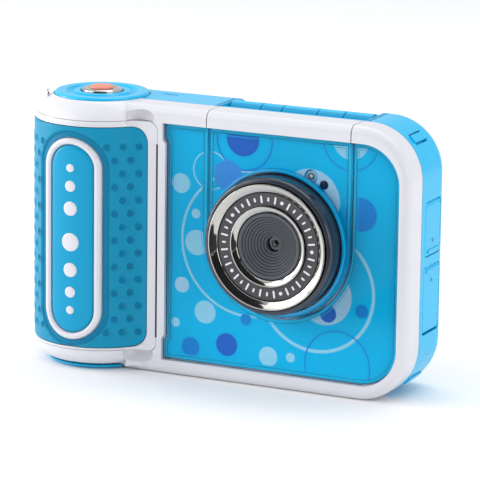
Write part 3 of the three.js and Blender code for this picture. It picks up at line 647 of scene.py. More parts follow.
def back_case():
    body = both(shell, box(-90, 90, SPLIT_BACK, 40, -1, 110))
    body = cut(
        body,
        *[rod(DOOR_HINGE_X, DOOR_HINGE_Y, 2.1, a - 0.4, b + 0.4, "z") for a, b in DOOR_KNUCKLES],
        *[box(-76, -71.9, -3, DOOR_HINGE_Y, a - 0.4, b + 0.4) for a, b in DOOR_KNUCKLES],
    )
    body = add(body, *[rod(DOOR_HINGE_X, DOOR_HINGE_Y, 1.7, a, b, "z") for a, b in CASE_DOOR_KNUCKLES])
    for sign in (1, -1):
        cx = RIGHT - CORNER
        cz = TOP - CORNER if sign > 0 else CORNER
        angle = sign * math.pi / 4
        pad = both(copy_of(whole), turned(13, 21, SPLIT_BACK, 14.5, -6, 6, angle, cx, cz))
        pocket = turned(CORNER - 1.2, 22, 1.6, 11, -2.3, 2.3, angle, cx, cz)
        bar = turned(CORNER - 1.4, CORNER + 0.5, 1.2, 11.4, -1.5, 1.5, angle, cx, cz)
        body = add(cut(add(body, pad), pocket), bar)
    body = cut(
        body,
        box(-4.95, 53.75, -5, 30, 84.4, 110),
        ring_recess(),
        rod(GRIP_X, GRIP_Y, 8.4, 90, 95, "z", 64),
        rod(DOOR_HINGE_X, DOOR_HINGE_Y, 0.95, 10, 86, "z"),
        prism(screen_outline(GAP, 4.3), 19, 30),
        rod(DPAD_X, DPAD_Z, 11.8, 19, 30, "y", 96),
        *[rod(x, z, 4.5, 19, 30, "y", 64) for x, _, z in BUTTONS.values()],
        flap_opening(USB_Y, USB_Z[0] - 0.2, USB_Z[1] + FLAP_CLEAR),
        flap_opening(SD_Y, SD_Z[0] - FLAP_CLEAR, SD_Z[1] + 0.2),
        *[box(x - 0.3, x + 0.3, 8.4, 10.6, 92, 99) for x in (-30.2, -29, -27.8, -26.6, -25.4)],
        *[rod(x, z, 2.8, 12, 30, "y", 32) for x, z in SCREWS],
        *[box(x - 0.6, x + 0.6, 19, 30, 9.4, 17.4) for x in (-29, -26.5, -24, -21.5, -19)],
    )
    wells = [cut(rod(x, z, 3.6, 11, 21, "y", 32), rod(x, z, 2.8, 12, 30, "y", 32)) for x, z in SCREWS]
    body = add(body, *wells)
    return soften(body, 0.25)


piece(back_case(), "case_back", "case", BLUE, ["back_case"])

# ---- rings and shutter ----
piece(lathe(rounded([
    (7.6, 93.9), (16.8, 93.9), (16.8, 96.3), (16.2, 96.9), (13.2, 96.9), (11.9, 95.9), (10.6, 95.9),
    (9.6, 97), (8, 97), (7.6, 96.6), (7.6, 93.9),
], 0.35), GRIP_X, GRIP_Y, "z", 128), "top_ring", "case", BLUE, ["button_ring"])
foot = lathe(rounded([(0, 0), (16.4, 0), (18.4, 0.5), (19.3, 1.5), (0, 1.5)], 0.35), GRIP_X, GRIP_Y, "z", 128)
piece(cut(foot, box(-35.4, 0, -30, 30, -1, 5)), "foot_ring", "case", BLUE, ["base_ring"])
piece(lathe(rounded([
    (0, 90.2), (9.4, 90.2), (9.4, 91.3), (7.2, 91.3), (7.2, 97.2), (6.7, 97.8), (5.2, 97.9),
    (4.7, 97.4), (0, 97.4),
], 0.35), GRIP_X, GRIP_Y, "z", 96), "shutter_chrome", "shutter", CHROME, ["shutter_button"])
piece(lathe(rounded([(0, 97.7), (4.2, 97.7), (4.2, 98.2), (3.6, 98.65), (2, 98.85), (0, 98.9)], 0.4),
            GRIP_X, GRIP_Y, "z", 64), "shutter_centre", "shutter", SALMON, ["shutter_cap"])

# ---- clear plates and printed inserts ----
piece(slab(plate_outline, PLATE_Y[0], PLATE_Y[1], 0.35, 0.1), "plate_fixed", "case", CLEAR,
      ["faceplate"], 50)
piece(slab(lambda grow: plate_outline(grow - 0.2), INSERT_Y[0], INSERT_Y[1], 0.05, 0.05), "insert_fixed",
      "case", INSERT, ["face_insert"], 50)
lens_hole = 24.7
piece(cut(
    slab(lambda grow: tongue(FLIP_HALF - 0.1 + grow, PLATE_Z[1] + grow), PLATE_Y[0], PLATE_Y[1], 0.3, 0.1),
    rod(LENS_X, LENS_Z, lens_hole, -14, -8, "y", 128),
), "plate_flip", "flip_door", CLEAR, ["flip_plate"], 50)
piece(ring(LENS_X, LENS_Z, lens_hole, 25.8, -12.9, -10.5, 0.3, "y", 128), "lens_collar", "flip_door",
      COLLAR)


def flip_insert():
    return cut(
        prism(tongue(FLIP_HALF - 0.2, PLATE_Z[1] - 0.2), INSERT_Y[0], INSERT_Y[1]),
        rod(LENS_X, LENS_Z, lens_hole, -14, -8, "y", 128),
        rod(*FLASH, 2.3, -20, 0, "y"),
    )


def band(outline, outer, inner, layer):
    """A strip round an insert, between two distances inside its outline, used for painted highlight and
    painted shade lines where the clear plate's edge bends light.
    """
    low, high = INSERT_Y[0] - 0.08 - 0.012 * layer, INSERT_Y[0] - 0.07 - 0.012 * layer
    return cut(prism(outline(-outer), low, high), prism(outline(-inner), low - 1, high + 1))


def flip_outline(grow):
    return tongue(FLIP_HALF - 0.1 + grow, PLATE_Z[1] + grow)


# Painted light along the plate edges: bright bands as painted highlight, dark bands as painted shade.
for place, outline in (("case", plate_outline), ("flip_door", flip_outline)):
    piece(together([band(outline, 0.5, 1.25, 0), band(outline, 2.0, 2.25, 0)]),
          f"edge_painted_highlight_{place}", place, EDGE_PAINTED_HIGHLIGHT)
    piece(together([band(outline, 0.25, 0.5, 1), band(outline, 1.25, 1.5, 1)]),
          f"edge_painted_shade_{place}", place, EDGE_PAINTED_SHADE)


piece(flip_insert(), "insert_flip", "flip_door", INSERT, ["flip_insert"])

# Bubbles printed on the insert: middle x and z, outer and inner radius.
BUBBLES = {
    "light": [
        (-7, 48.5, 4.5, 0), (-3.5, 24, 4.1, 0), (-15, 19, 1.7, 0), (21, 11, 3.5, 0), (29.5, 11.7, 1.7, 0),
        (-13.3, 69, 3.5, 0), (-7.4, 58.8, 1.7, 0), (50.8, 90.3, 6.7, 0), (-1.8, 74.6, 6.9, 6.4),
        (38.8, 36.6, 22.1, 20.9), (13, 50, 26.1, 25.2),
    ],
    "pale": [(-12.6, 32.8, 2.8, 0), (41.8, 35.2, 10.4, 4.6), (36.2, 68, 11, 6.5)],
    "mid": [
        (55, 65, 5.9, 0), (-9, 10.8, 3.5, 0), (12.3, 23.2, 2.1, 0), (56, 31.3, 2.4, 0),
        (11, 86.4, 10.7, 10.1),
        (50.8, 90, 10.4, 9.9), (47.2, 11, 12.4, 11.9),
    ],
    "royal": [(5, 13.3, 4.1, 0), (10.3, 87, 6.2, 0), (43.4, 29, 3.1, 0)],
    "lilac": [(4.7, 73.5, 5.4, 0)],
}


def bubble(x, z, r, hole, layer):
    low, high = INSERT_Y[0] - 0.02 - 0.012 * layer, INSERT_Y[0] - 0.012 - 0.012 * layer
    disc = rod(x, z, r, low, high, "y", 72)
    return cut(disc, rod(x, z, hole, -11, -10, "y", 72)) if hole else disc


for layer, (tone, list_of) in enumerate(BUBBLES.items()):
    for place in ("case", "flip_door"):
        kept = []
        for x, z, r, hole in list_of:
            disc = bubble(x, z, r, hole, layer)
            if place == "case":
                disc = both(disc, prism(plate_rect(-0.6), -12, -9))
                disc = cut(disc, prism(tongue(FLIP_HALF + 0.9, 110), -12, -9))
            else:
                area = cut(
                    prism(tongue(FLIP_HALF - 0.6, PLATE_Z[1] - 0.6), -12, -9),
                    rod(LENS_X, LENS_Z, 25.1, -14, -8, "y", 96),
                    rod(*FLASH, 2.5, -20, 0, "y"),
                )
                disc = both(disc, area)
            if len(disc.data.vertices):
                kept.append(disc)
            else:
                bpy.data.objects.remove(disc)
        if kept:
            piece(together(kept), f"print_{tone}_{place}", place, PRINT[tone])


# ---- flip door ----
def flip_bay():
    body = cut(prism(tongue(28.85, 86.1), -7.5, -1.2), prism(tongue(FLIP_HALF + 0.4, 120), -9, -2.7))
    saddle = cut(
        both(copy_of(whole), box(-4.45, 53.25, -1.7, 30, 84.7, 110)),
        box(-3, 51.8, -5, 30, BAY_FLOOR, 120),
    )
    body = add(body, *[box(a, b, -6, -1.2, 50, 92) for a, b in ((-4.45, -3), (51.8, 53.25))], saddle)
    for a, b in CASE_KNUCKLES:
        foot_block = box(a, b, 4.4, 12.6, BAY_FLOOR - 0.5, FLIP_Z)
        body = add(body, rod(FLIP_Y, FLIP_Z, KNUCKLE_R, a, b, "x"), foot_block)
    return soften(cut(body, rod(FLIP_Y, FLIP_Z, 1.4, 5, 45, "x", 32)), 0.25)


# Faces of the trough in front of the hinge barrel, which take the darker blue as painted shade.
def painted_shade_before_barrel(x, y, z):
    return (y > 1.8) & (y < 6.6) & (z > 88)


bay = piece(flip_bay(), "hinge_bay", "case", BLUE, ["flip_bay"])
# Painted shade: the trough's faces before the barrel get the darker blue.
recolour(bay, BLUE_PAINTED_SHADE, painted_shade_before_barrel)


def flip_frame():
    half = FLIP_HALF
    band = box(LENS_X - half, LENS_X + half, -20, SPLIT_FRONT, PLATE_Z[1] + GAP, 110)
    body = both(copy_of(whole), add(prism(tongue(half, 110), -20, -4.8), band))
    body = cut(
        body,
        prism(tongue(half + 1, PLATE_Z[1] + GAP), -20, SEAT_Y),
        prism(tongue(half - 1.8, 88), -8.4, 0),
        rod(LENS_X, LENS_Z, 5.9, -20, 0, "y"),
        rod(*FLASH, 2.3, -20, 0, "y"),
    )
    return soften(body, 0.25)


piece(flip_frame(), "flip_frame_white", "flip_door", WHITE, ["flip_frame"])


def flip_back():
    half = 26.8
    body = slab(lambda grow: tongue(half + grow, 89.6 + grow), -4.5, -3.1, 0.1, 0.4)
    body = add(
        body,
        box(LENS_X - half, LENS_X + half, -4.3, -0.4, 86.8, 89.6),
        prism(round_rect(-1.85, 1.6, 86.8, 95.3, 0.9), LENS_X - half, LENS_X + half, "x"),
    )
    for a, b in FLIP_KNUCKLES:
        body = add(body, rod(FLIP_Y, FLIP_Z, KNUCKLE_R, a, b, "x"), box(a, b, -1, FLIP_Y, 86.8, 89.6))
    return soften(cut(body, rod(FLIP_Y, FLIP_Z, 1.4, -10, 60, "x", 32)), 0.25)


hinge_half = piece(flip_back(), "flip_back_blue", "flip_door", BLUE, ["flip_back"])
recolour(hinge_half, BLUE_PAINTED_SHADE, painted_shade_before_barrel)

# ---- lens ----
piece(lathe(rounded([
    (BARREL_R, -10.2), (BARREL_R, -18.9), (23.6, -19.9), (22.3, -20.3), (22.3, -18), (12.2, -18),
    (12.2, -10.2), (13.4, -10.2), (13.4, -16.5), (22.3, -16.5), (22.3, -10.2), (BARREL_R, -10.2),
], 0.5), LENS_X, LENS_Z, "y", 160), "barrel", "flip_door", DARK, ["lens_barrel"])
piece(lathe(rounded([
    (19.1, -18.3), (22, -18.3), (22, -21.1), (21.6, -21.2), (20.4, -20.55), (19.1, -19.6), (19.1, -18.3),
], 0.3), LENS_X, LENS_Z, "y", 160), "bezel_chrome", "flip_door", CHROME, ["lens_bezel"])
piece(lathe(rounded([
    (14.4, -18.3), (18.8, -18.3), (18.8, -19.5), (18.4, -19.4), (14.8, -19.2), (14.4, -19.4), (14.4, -18.3),
], 0.15), LENS_X, LENS_Z, "y", 128), "scale_ring", "flip_door", RING_GREY, ["lens_ring"])
piece(lathe(rounded([
    (11.9, -18.3), (14.1, -18.3), (14.1, -20.1), (13.7, -20.2), (12.8, -19.7), (11.9, -19), (11.9, -18.3),
], 0.25), LENS_X, LENS_Z, "y", 128), "inner_chrome", "flip_door", CHROME, ["lens_inner_ring"])


def cone():
    """Fine steps from the rim down to the lens."""
    count = 9
    pitch = (11.2 - 2.7) / count
    face = []
    for i in range(count):
        r = 2.7 + pitch * i
        y = -14.2 - (18.6 - 14.2) * i / count
        face += [(r, y), (r + 0.2 * pitch, y - 0.75), (r + 0.7 * pitch, y - 0.75)]
    path = [(2.7, -13.2), *face, (11.2, -18.9), (11.6, -18.9), (11.6, -13.2), (2.7, -13.2)]
    return lathe(rounded(path, 0.14, 3), LENS_X, LENS_Z, "y", 96)


piece(cone(), "ribbed_cone", "flip_door", CONE_GREY, ["lens_cone"], 50)
dome = [(1.3 * math.sin(t), -13.3 - 0.7 * math.cos(t)) for t in np.linspace(0, math.pi / 2, 12)]
dome[0] = (0, -14)
eye = dome + [(2.3, -13.3), (2.3, -12.8), (5.5, -12.8), (5.5, -5.3), (0, -5.3)]
piece(lathe(eye, LENS_X, LENS_Z, "y", 64), "camera_eye", "flip_door", GLASS_BLACK,
      ["camera_module"])


def scale_marks():
    """Bars and dots round the scale ring, standing slightly proud of it."""
    marks = []
    for i in range(40):
        if i % 8 == 0:
            mark = rod(16.6, 0, 0.62, -19.62, -19.2, "y", 24)
        else:
            half = 1.4 if i % 2 else 0.8
            mark = prism(round_rect(16.6 - half, 16.6 + half, -0.31, 0.31, 0.3), -19.6, -19.2)
        turn = Matrix.Rotation(2 * math.pi * i / 40, 4, "Y")
        mark.data.transform(Matrix.Translation((LENS_X, 0, LENS_Z)) @ turn)
        marks.append(mark)
    return together(marks)


piece(scale_marks(), "scale_marks", "flip_door", TICK)
piece(lathe(rounded([(0, -9.9), (2, -9.9), (2, -6.6), (0, -6.6)], 0.1), *FLASH, "y", 48),
      "flash", "flip_door", PRINT["pale"], ["flash_led"])
piece(ring(*FLASH, 0.75, 1.15, -10.1, -9.8, 0.1, "y", 48), "flash_rim", "flip_door",
      GLASS_BLACK)
# A white dome inside the dark rim: the LED_PAINTED_GLINT lens, with a painted glint as its colour.
piece(lathe([(0, -10.2), (0.4, -10.12), (0.7, -9.95), (0.7, -9.8), (0, -9.8)], *FLASH, "y", 32),
      "flash_lens_painted_glint", "flip_door", LED_PAINTED_GLINT)
piece(lathe([(0, -10.44), (1.57, -10.44), (1.6, -10.42), (1.6, -10.37), (0, -10.37)], *SENSOR, "y", 48),
      "light_sensor", "flip_door", SENSOR_NAVY)


# ---- paper door ----
FILLET_Y = FRONT - FILLET
FILLET_X = GRIP_X + math.sqrt((GRIP_R + FILLET) ** 2 - FILLET_Y**2)
FILLET_START = math.atan2(GRIP_Y - FILLET_Y, GRIP_X - FILLET_X)
GRIP_END = GRIP_R * math.atan2(FILLET_X - GRIP_X, GRIP_Y - FILLET_Y)
FILLET_END = GRIP_END + FILLET * (FILLET_START - math.pi / 2)


def wrap(s, proud):
    """The point at distance s round the grip from its front, proud of it by that much."""
    theta = s / GRIP_R
    on_grip = GRIP_X + (GRIP_R + proud) * np.sin(theta), GRIP_Y - (GRIP_R + proud) * np.cos(theta)
    phi = FILLET_START - (s - GRIP_END) / FILLET
    hollow = FILLET_X + (FILLET - proud) * np.cos(phi), FILLET_Y + (FILLET - proud) * np.sin(phi)
    flat = FILLET_X + s - FILLET_END, FRONT - proud + 0 * s
    x = np.where(s < GRIP_END, on_grip[0], np.where(s < FILLET_END, hollow[0], flat[0]))
    y = np.where(s < GRIP_END, on_grip[1], np.where(s < FILLET_END, hollow[1], flat[1]))
    return x, y


def patch(s0, s1, z0, z1, step, height, depth):
    """A closed sheet on the grip: its outer face follows height(s, x, y, z), its inner face is depth."""
    columns = int((s1 - s0) / step)
    rows = int((z1 - z0) / step)
    s, z = np.meshgrid(np.linspace(s0, s1, columns + 1), np.linspace(z0, z1, rows + 1), indexing="ij")
    x, y = wrap(s, 0)
    ox, oy = wrap(s, height(s, x, y, z))
    ix, iy = wrap(s, np.full_like(s, depth))
    outer = np.stack([ox, oy, z], -1).reshape(-1, 3)
    inner = np.stack([ix, iy, z], -1).reshape(-1, 3)
    count = len(outer)
    index = np.arange(count).reshape(columns + 1, rows + 1)
    quads = np.stack([index[:-1, :-1], index[1:, :-1], index[1:, 1:], index[:-1, 1:]], -1).reshape(-1, 4)
    faces = [tuple(q) for q in quads.tolist()]
    faces += [tuple(reversed([c + count for c in q])) for q in quads.tolist()]
    rim = [*index[:, 0], *index[-1, 1:], *index[-2::-1, -1], *index[0, -2:0:-1]]
    for a, b in zip(rim, rim[1:] + rim[:1]):
        faces.append((int(b), int(a), int(a) + count, int(b) + count))
    return build(np.concatenate([outer, inner]).tolist(), faces)


def edge_fall(distance, r):
    """How far a rounded edge of radius r has dropped at this distance inside it."""
    inside_edge = np.clip(distance, 0, r)
    return r - np.sqrt(np.maximum(r * r - (r - inside_edge) ** 2, 0))


def rect_distance(u, v, u0, u1, v0, v1, r):
    qu = np.maximum(u0 + r - u, u - (u1 - r))
    qv = np.maximum(v0 + r - v, v - (v1 - r))
    return r - np.hypot(np.maximum(qu, 0), np.maximum(qv, 0)) - np.minimum(np.maximum(qu, qv), 0)


def pill(a, b):
    return prism(round_rect(GRIP_X - a, GRIP_X + a, BADGE_Z - b, BADGE_Z + b, a - 0.02, None, 40), -40, -5)


def pill_distance(x, z, a, b):
    """Distance outside an upright slot shape about the badge's middle."""
    return -rect_distance(x, z, GRIP_X - a, GRIP_X + a, BADGE_Z - b, BADGE_Z + b, a)


DIMPLE_ROWS = np.linspace(14.4, 80.8, 15)


def dimples():
    spots = []
    for i, z in enumerate(DIMPLE_ROWS):
        end = i in (0, len(DIMPLE_ROWS) - 1)
        if i % 2:
            angles = [39, 53, -39, -53, -67]
        else:
            angles = [46, 60, -46, -60]
        if end:
            angles += [32, -32]
        spots += [(math.radians(a) * GRIP_R, z) for a in angles]
    return spots


def skin_height(s, x, y, z):
    h = np.full_like(s, 0.3)
    for ds, dz in dimples():
        r = np.hypot(s - ds, z - dz)
        h -= 0.7 * (1 - np.minimum(r / 1.35, 1) ** 2) ** 0.7
        h += 0.18 * np.exp(-(((r - 1.65) / 0.28) ** 2))
    right = rect_distance(x, z, -90, SKIN_X1, SKIN_Z0, SKIN_Z1, SKIN_R)
    outside_badge = pill_distance(x, z, BADGE_A, BADGE_B)
    groove = 0.75 * np.clip((2.9 - outside_badge) / 0.5, 0, 1) ** 2
    distance = np.minimum(right, SKIN_Y1 - y)
    return h - groove - edge_fall(distance, 0.7) * 0.8


def grip_skin():
    left = -GRIP_R * math.acos(-SKIN_Y1 / GRIP_R) - 1
    right = FILLET_END + 1.2
    body = patch(left, right, SKIN_Z0 - 0.5, SKIN_Z1 + 0.5, 0.3, skin_height, -0.85)
    body = both(body, prism(round_rect(-80, SKIN_X1, SKIN_Z0, SKIN_Z1, 0.1, SKIN_R, 14), -40, SKIN_Y1))
    return cut(body, pill(BADGE_A + 0.3, BADGE_B + 0.3))


skin = piece(grip_skin(), "grip_skin_dimpled", "paper_door", SKIN, ["grip_skin"], 50)


def in_painted_shade(x, y, z):
    """Faces in the dimples and the moat round the badge, which take a darker blue as painted shade."""
    shaded = pill_distance(x, z, BADGE_A, BADGE_B) < 2.5
    for s, height in dimples():
        dx, dy = wrap(np.array(s), 0)
        shaded |= np.hypot(np.hypot(x - dx, y - dy), z - height) < 1.1
    return shaded


# Painted shade: the recessed faces of the grip get the darker rubber.
recolour(skin, SKIN_PAINTED_SHADE, in_painted_shade)


def ring_height(s, x, y, z):
    outer = -pill_distance(x, z, BADGE_A, BADGE_B)
    inner = pill_distance(x, z, PLAQUE_A + 0.25, PLAQUE_B + 0.25)
    return 0.85 - edge_fall(np.minimum(outer, inner), 1.15) * 0.9


def badge_ring():
    body = patch(-11.8, 11.8, 10.8, 84.2, 0.25, ring_height, -0.85)
    return cut(both(body, pill(BADGE_A, BADGE_B)), pill(PLAQUE_A + 0.25, PLAQUE_B + 0.25))


def plaque_height(s, x, y, z):
    return 0.15 - edge_fall(-pill_distance(x, z, PLAQUE_A, PLAQUE_B), 1.6) * 0.5


def plaque():
    return both(patch(-9, 9, 13, 82, 0.4, plaque_height, -0.85), pill(PLAQUE_A, PLAQUE_B))


piece(badge_ring(), "badge_rim", "paper_door", WHITE, ["badge_ring"], 50)
piece(plaque(), "badge_face", "paper_door", PLAQUE, ["badge_plaque"], 50)


def badge_beads():
    """Plain raised beads that grow up the badge, in place of lettering."""
    beads = []
    for z, r in ((22, 1.5), (28.5, 2), (36.5, 2.6), (46.5, 3.3), (58.5, 2.6), (66.5, 2), (73, 1.5)):
        profile = [(0, 0.62), (r * 0.6, 0.6), (r * 0.88, 0.48), (r, 0.2), (r, -0.3), (0, -0.3)]
        bead = lathe(rounded(profile, 0.2), 0, 0, "z", 48)
        mesh = bead.data
        for vertex in mesh.vertices:
            u, v, h = vertex.co
            px, py = wrap(np.array(u), np.array(h))
            vertex.co = (float(px), float(py), z + v)
        beads.append(bead)
    return together(beads)


piece(badge_beads(), "badge_beads", "paper_door", WHITE)


def door_shell():
    wall = cut(copy_of(whole), outside(WALL))
    body = both(wall, door_prism(0, DOOR_Y1))
    body = add(body, *[box(-29.6, -23.4, -11.8, -2.6, a, b) for a, b in ((13.6, 15.4), (78.2, 80))])
    for a, b in DOOR_KNUCKLES:
        body = add(
            body,
            rod(DOOR_HINGE_X, DOOR_HINGE_Y, 1.7, a, b, "z"),
            box(-74.4, -72.3, -4, DOOR_HINGE_Y - 0.2, a, b),
        )
    grow = 0.25
    region = prism(
        round_rect(-80, SKIN_X1 + grow, SKIN_Z0 - grow, SKIN_Z1 + grow, 0.1, SKIN_R, 12), -40, SKIN_Y1 + grow
    )
    platen_x, platen_y, _ = middle("platen_roller")
    body = cut(
        body,
        both(cut(outside(-1), outside(1.15)), region),
        rod(DOOR_HINGE_X, DOOR_HINGE_Y, 0.95, 5, 95, "z", 32),
        rod(platen_x, platen_y, 1.65, 10, 85, "z", 32),
        box(-23.35, -20, -20, -11.3, 12.95, 82.25),
    )
    return soften(body, 0.2)


piece(door_shell(), "door_white", "paper_door", WHITE, ["door_shell"])


def tear_comb():
    """A bar with rounded teeth along the paper slot."""
    (x0, x1), (y0, y1), (z0, z1) = limits("tear_bar")
    pitch = 0.62
    count = int((z1 - z0) / pitch)
    edge = []
    for i in range(count * 6 + 1):
        t = i / 6
        edge.append((x1 - 0.3 * (0.5 - 0.5 * math.cos(2 * math.pi * t)), z0 + (z1 - z0) * t / count))
    return soften(prism([(x0, z0), *edge, (x0, z1)], y0, y0 + 0.14), 0.03, 1, 50)


piece(tear_comb(), "tear_comb", "paper_door", WHITE, ["tear_bar"])
# A thin black strip behind the tear comb: painted shadow for the depth of the paper slot.
comb_x, comb_y, comb_z = limits("tear_bar")
piece(soften(box(comb_x[0], comb_x[1] + 0.12, comb_y[0] + 0.16, comb_y[1] + 2, *comb_z), 0.05),
      "slot_painted_shadow_strip", "paper_door", SLOT_PAINTED_SHADOW)

# ---- strap loop ----
def strap_loop():
    a, b = Vector((-66.4, -9.6)), Vector((-67.9, -6.9))
    path = []
    for k in range(41):
        t = k / 40
        w = min(max((t - 0.25) / 0.5, 0), 1)
        p = a.lerp(b, (1 - math.cos(math.pi * w)) / 2)
        rise = 92.6 + 12 * min(t, 1 - t) if t < 0.25 or t > 0.75 else 95.6 + math.sin(math.pi * w)
        path.append(Vector((p.x, p.y, rise)))
    section = np.linspace(0, 2 * math.pi, 17)[:-1]
    rings = []
    for i, here in enumerate(path):
        ahead = (path[min(i + 1, 40)] - path[max(i - 1, 0)]).normalized()
        side = ahead.cross(Vector((a - b).normalized().to_3d().cross(Vector((0, 0, 1))))).normalized()
        other = ahead.cross(side)
        rings.append([here + 0.5 * (side * math.cos(t) + other * math.sin(t)) for t in section])
    return loft(rings)


piece(strap_loop(), "loop_wire", "case", CHROME, ["strap_loop"])


# ---- side flaps ----
def flap(sides, ends, axis_low):
    """A side flap: rounded at its free end, rolled round its axis, with a ledge to pry it by."""
    (y0, y1), (low, high) = sides, ends
    axis, free, inward = (low, high, -1) if axis_low else (high, low, 1)
    body = slab(lambda g: round_rect(y0 - g, y1 + g, low - g, high + g, 1.5 + g, None, 8),
                RIGHT - WALL, RIGHT, 0.1, 0.45, "x")
    ledge_z = sorted((free + 0.8 * inward, free + 2.2 * inward))
    ledge = slab(
        lambda g: round_rect(y0 + 2.2 - g, y1 - 0.8 + g, ledge_z[0] - g, ledge_z[1] + g, 0.69 + g, None, 5),
        RIGHT - 0.5, RIGHT + 0.42, 0.1, 0.25, "x",
    )
    return add(
        body,
        ledge,
        rod(FLAP_AXIS_X, axis, 1, y0, y1, "y"),
        rod(FLAP_AXIS_X, axis, 0.5, y0 - 0.85, y1 + 0.85, "y"),
        box(RIGHT - WALL - 1, RIGHT - WALL + 0.2, y0 + 2.5, y1 - 2.5, low + 6, high - 5),
    )


def flap_arrow(sides, ends, upward):
    """A small raised triangle that points at the edge to pry."""
    y = sum(sides) / 2
    s = 1 if upward else -1
    z = (ends[1] if upward else ends[0]) - s * 5
    return slab(
        lambda g: [(y - 1 - g, z - s * (0.5 + g)), (y + 1 + g, z - s * (0.5 + g)), (y, z + s * (0.7 + g))],
        RIGHT - 0.3, RIGHT + 0.12, 0, 0.08, "x",
    )


piece(flap(USB_Y, USB_Z, False), "usb_cover", "usb_cover", BLUE, ["usb_flap"])
piece(flap(SD_Y, SD_Z, True), "card_cover", "sd_cover", BLUE, ["sd_flap"])
piece(flap_arrow(USB_Y, USB_Z, False), "usb_arrow", "usb_cover", INK)
piece(flap_arrow(SD_Y, SD_Z, True), "card_arrow", "sd_cover", INK)


# ---- back ----
def screen_frame():
    (wx0, wx1), _, (wz0, wz1) = limits("screen_window")
    body = slab(lambda g: screen_outline(g, 4 + g), SCREEN_Y[0], SCREEN_Y[1], 0.1, 0.7)
    return soften(cut(body, box(wx0 - 0.3, wx1 + 0.3, 19, 24, wz0 - 0.3, wz1 + 0.3)), 0.3)


piece(screen_frame(), "display_frame", "case", WHITE, ["screen_frame"])


def display_glass():
    (x0, x1), (y0, y1), (z0, z1) = limits("screen_window")
    return slab(lambda g: round_rect(x0 - g, x1 + g, z0 - g, z1 + g, 0.5), y0, y1, 0.1, 0.3)


piece(display_glass(), "display_glass", "case", SCREEN_BLACK, ["screen_window"])
piece(lathe(rounded([
    (5, 17.4), (12.6, 17.4), (12.6, 18.6), (10.9, 18.6), (10.9, 22.6), (10.3, 23.2), (8, 23.0), (5.6, 22.7),
    (5, 22.2), (5, 17.4),
], 0.45), DPAD_X, DPAD_Z, "y", 128), "dpad_ring", "dpad_ring", WHITE, ["dpad"])


def arrows():
    marks = []
    for i in range(4):
        mark = slab(lambda g: [(-1.3 - g, 7.2 - g), (1.3 + g, 7.2 - g), (0, 9.2 + g)], 22.8, 23.28, 0, 0.08)
        turn = Matrix.Rotation(i * math.pi / 2, 4, "Y")
        mark.data.transform(Matrix.Translation((DPAD_X, 0, DPAD_Z)) @ turn)
        marks.append(mark)
    return together(marks)


piece(arrows(), "dpad_arrows", "dpad_ring", INK)
centre = rounded([(0, 15.4), (4.2, 15.4), (4.2, 22.7), (3.6, 23.3), (0, 23.4)], 0.4)
piece(lathe(centre, DPAD_X, DPAD_Z, "y", 64), "centre_button", "ok", ORANGE, ["ok_button"])


def icon(name):
    if name == "play":
        return slab(lambda g: [(-0.8 - g, -1.2 - g), (1.3 + g, 0), (-0.8 - g, 1.2 + g)], 22.9, 23.22, 0, 0.06)
    if name == "mode":
        return slab(lambda g: round_rect(-1.2 - g, 1.2 + g, -0.9 - g, 0.9 + g, 0.3), 22.9, 23.22, 0, 0.06)
    if name == "print":
        return together([
            slab(lambda g, v=v: round_rect(-1.2 - g, 1.2 + g, v - 0.25 - g, v + 0.25 + g, 0.2),
                 22.9, 23.22, 0, 0.06)
            for v in (-0.9, 0, 0.9)
        ])
    return slab(lambda g: round_rect(-1.3 - g, 1.3 + g, -0.3 - g, 0.3 + g, 0.25), 22.9, 23.22, 0, 0.06)


for name, (x, _, z) in BUTTONS.items():
    cap = lathe(rounded([
        (0, 18.2), (5.2, 18.2), (5.2, 19.6), (3.9, 19.6), (3.9, 22.4), (3.3, 22.9), (0, 23.1),
    ], 0.4), x, z, "y", 64)
    piece(cap, f"{name}_cap", name, WHITE, [f"{name}_button"])
    mark = icon(name)
    mark.data.transform(Matrix.Translation((x, 0, z)))
    piece(mark, f"{name}_icon", name, INK)

# ---- print mechanism ----
px, py, _ = middle("platen_roller")
piece(ring(px, py, 1.8, 4, *limits("platen_roller")[2], 0.3, "z", 64), "platen_rubber", "platen",
      RUBBER, ["platen_roller"])
piece(lathe(rounded([(0, 12.6), (1.5, 12.6), (1.5, 84.2), (0, 84.2)], 0.3), px, py, "z", 48), "platen_axle",
      "platen", STEEL, ["platen_shaft"])


def roll():
    (x0, x1), _, (z0, z1) = limits("paper_roll")
    r = (x1 - x0) / 2
    turns = 22
    face = [(r - (r - 4) * k / turns, z1 - (0.12 if k % 2 else 0)) for k in range(turns + 1)]
    path = [(3.5, z0)] + [(4 + (r - 4) * k / turns, z0 + (0.12 if k % 2 else 0)) for k in range(turns + 1)]
    return lathe(path + face + [(3.5, z1), (3.5, z0)], GRIP_X, GRIP_Y, "z", 96)


piece(roll(), "paper_coil", "roll", PAPER, ["paper_roll"], 25)

INNER = {
    "platen_gear": GEAR, "idler_gear": GEAR, "motor_pinion": GEAR,
    "paper_bay": BAY_WHITE, "thermal_head": CERAMIC, "head_bracket": STEEL, "stepper_motor": STEEL,
    "flip_hinge_pin": STEEL, "door_hinge_pin": STEEL,
    "usb_socket": STEEL, "sd_socket": STEEL, "main_board": BOARD, "button_board": BOARD, "battery_pack": CELL,
    "lcd_module": GREY, "speaker": GREY, "dpad_pivot": GREY,
    "case_screw_1": STEEL, "case_screw_2": STEEL, "case_screw_3": STEEL, "case_screw_4": STEEL,
}
for node, material in INNER.items():
    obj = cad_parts[node]
    obj.data.materials.clear()
    obj.data.materials.append(material)
    edges = obj.modifiers.new("edges", "BEVEL")
    edges.width = 0.12 * MM
    edges.segments = 2
    edges.limit_method = "ANGLE"
    edges.angle_limit = math.radians(40)

bpy.data.objects.remove(whole)

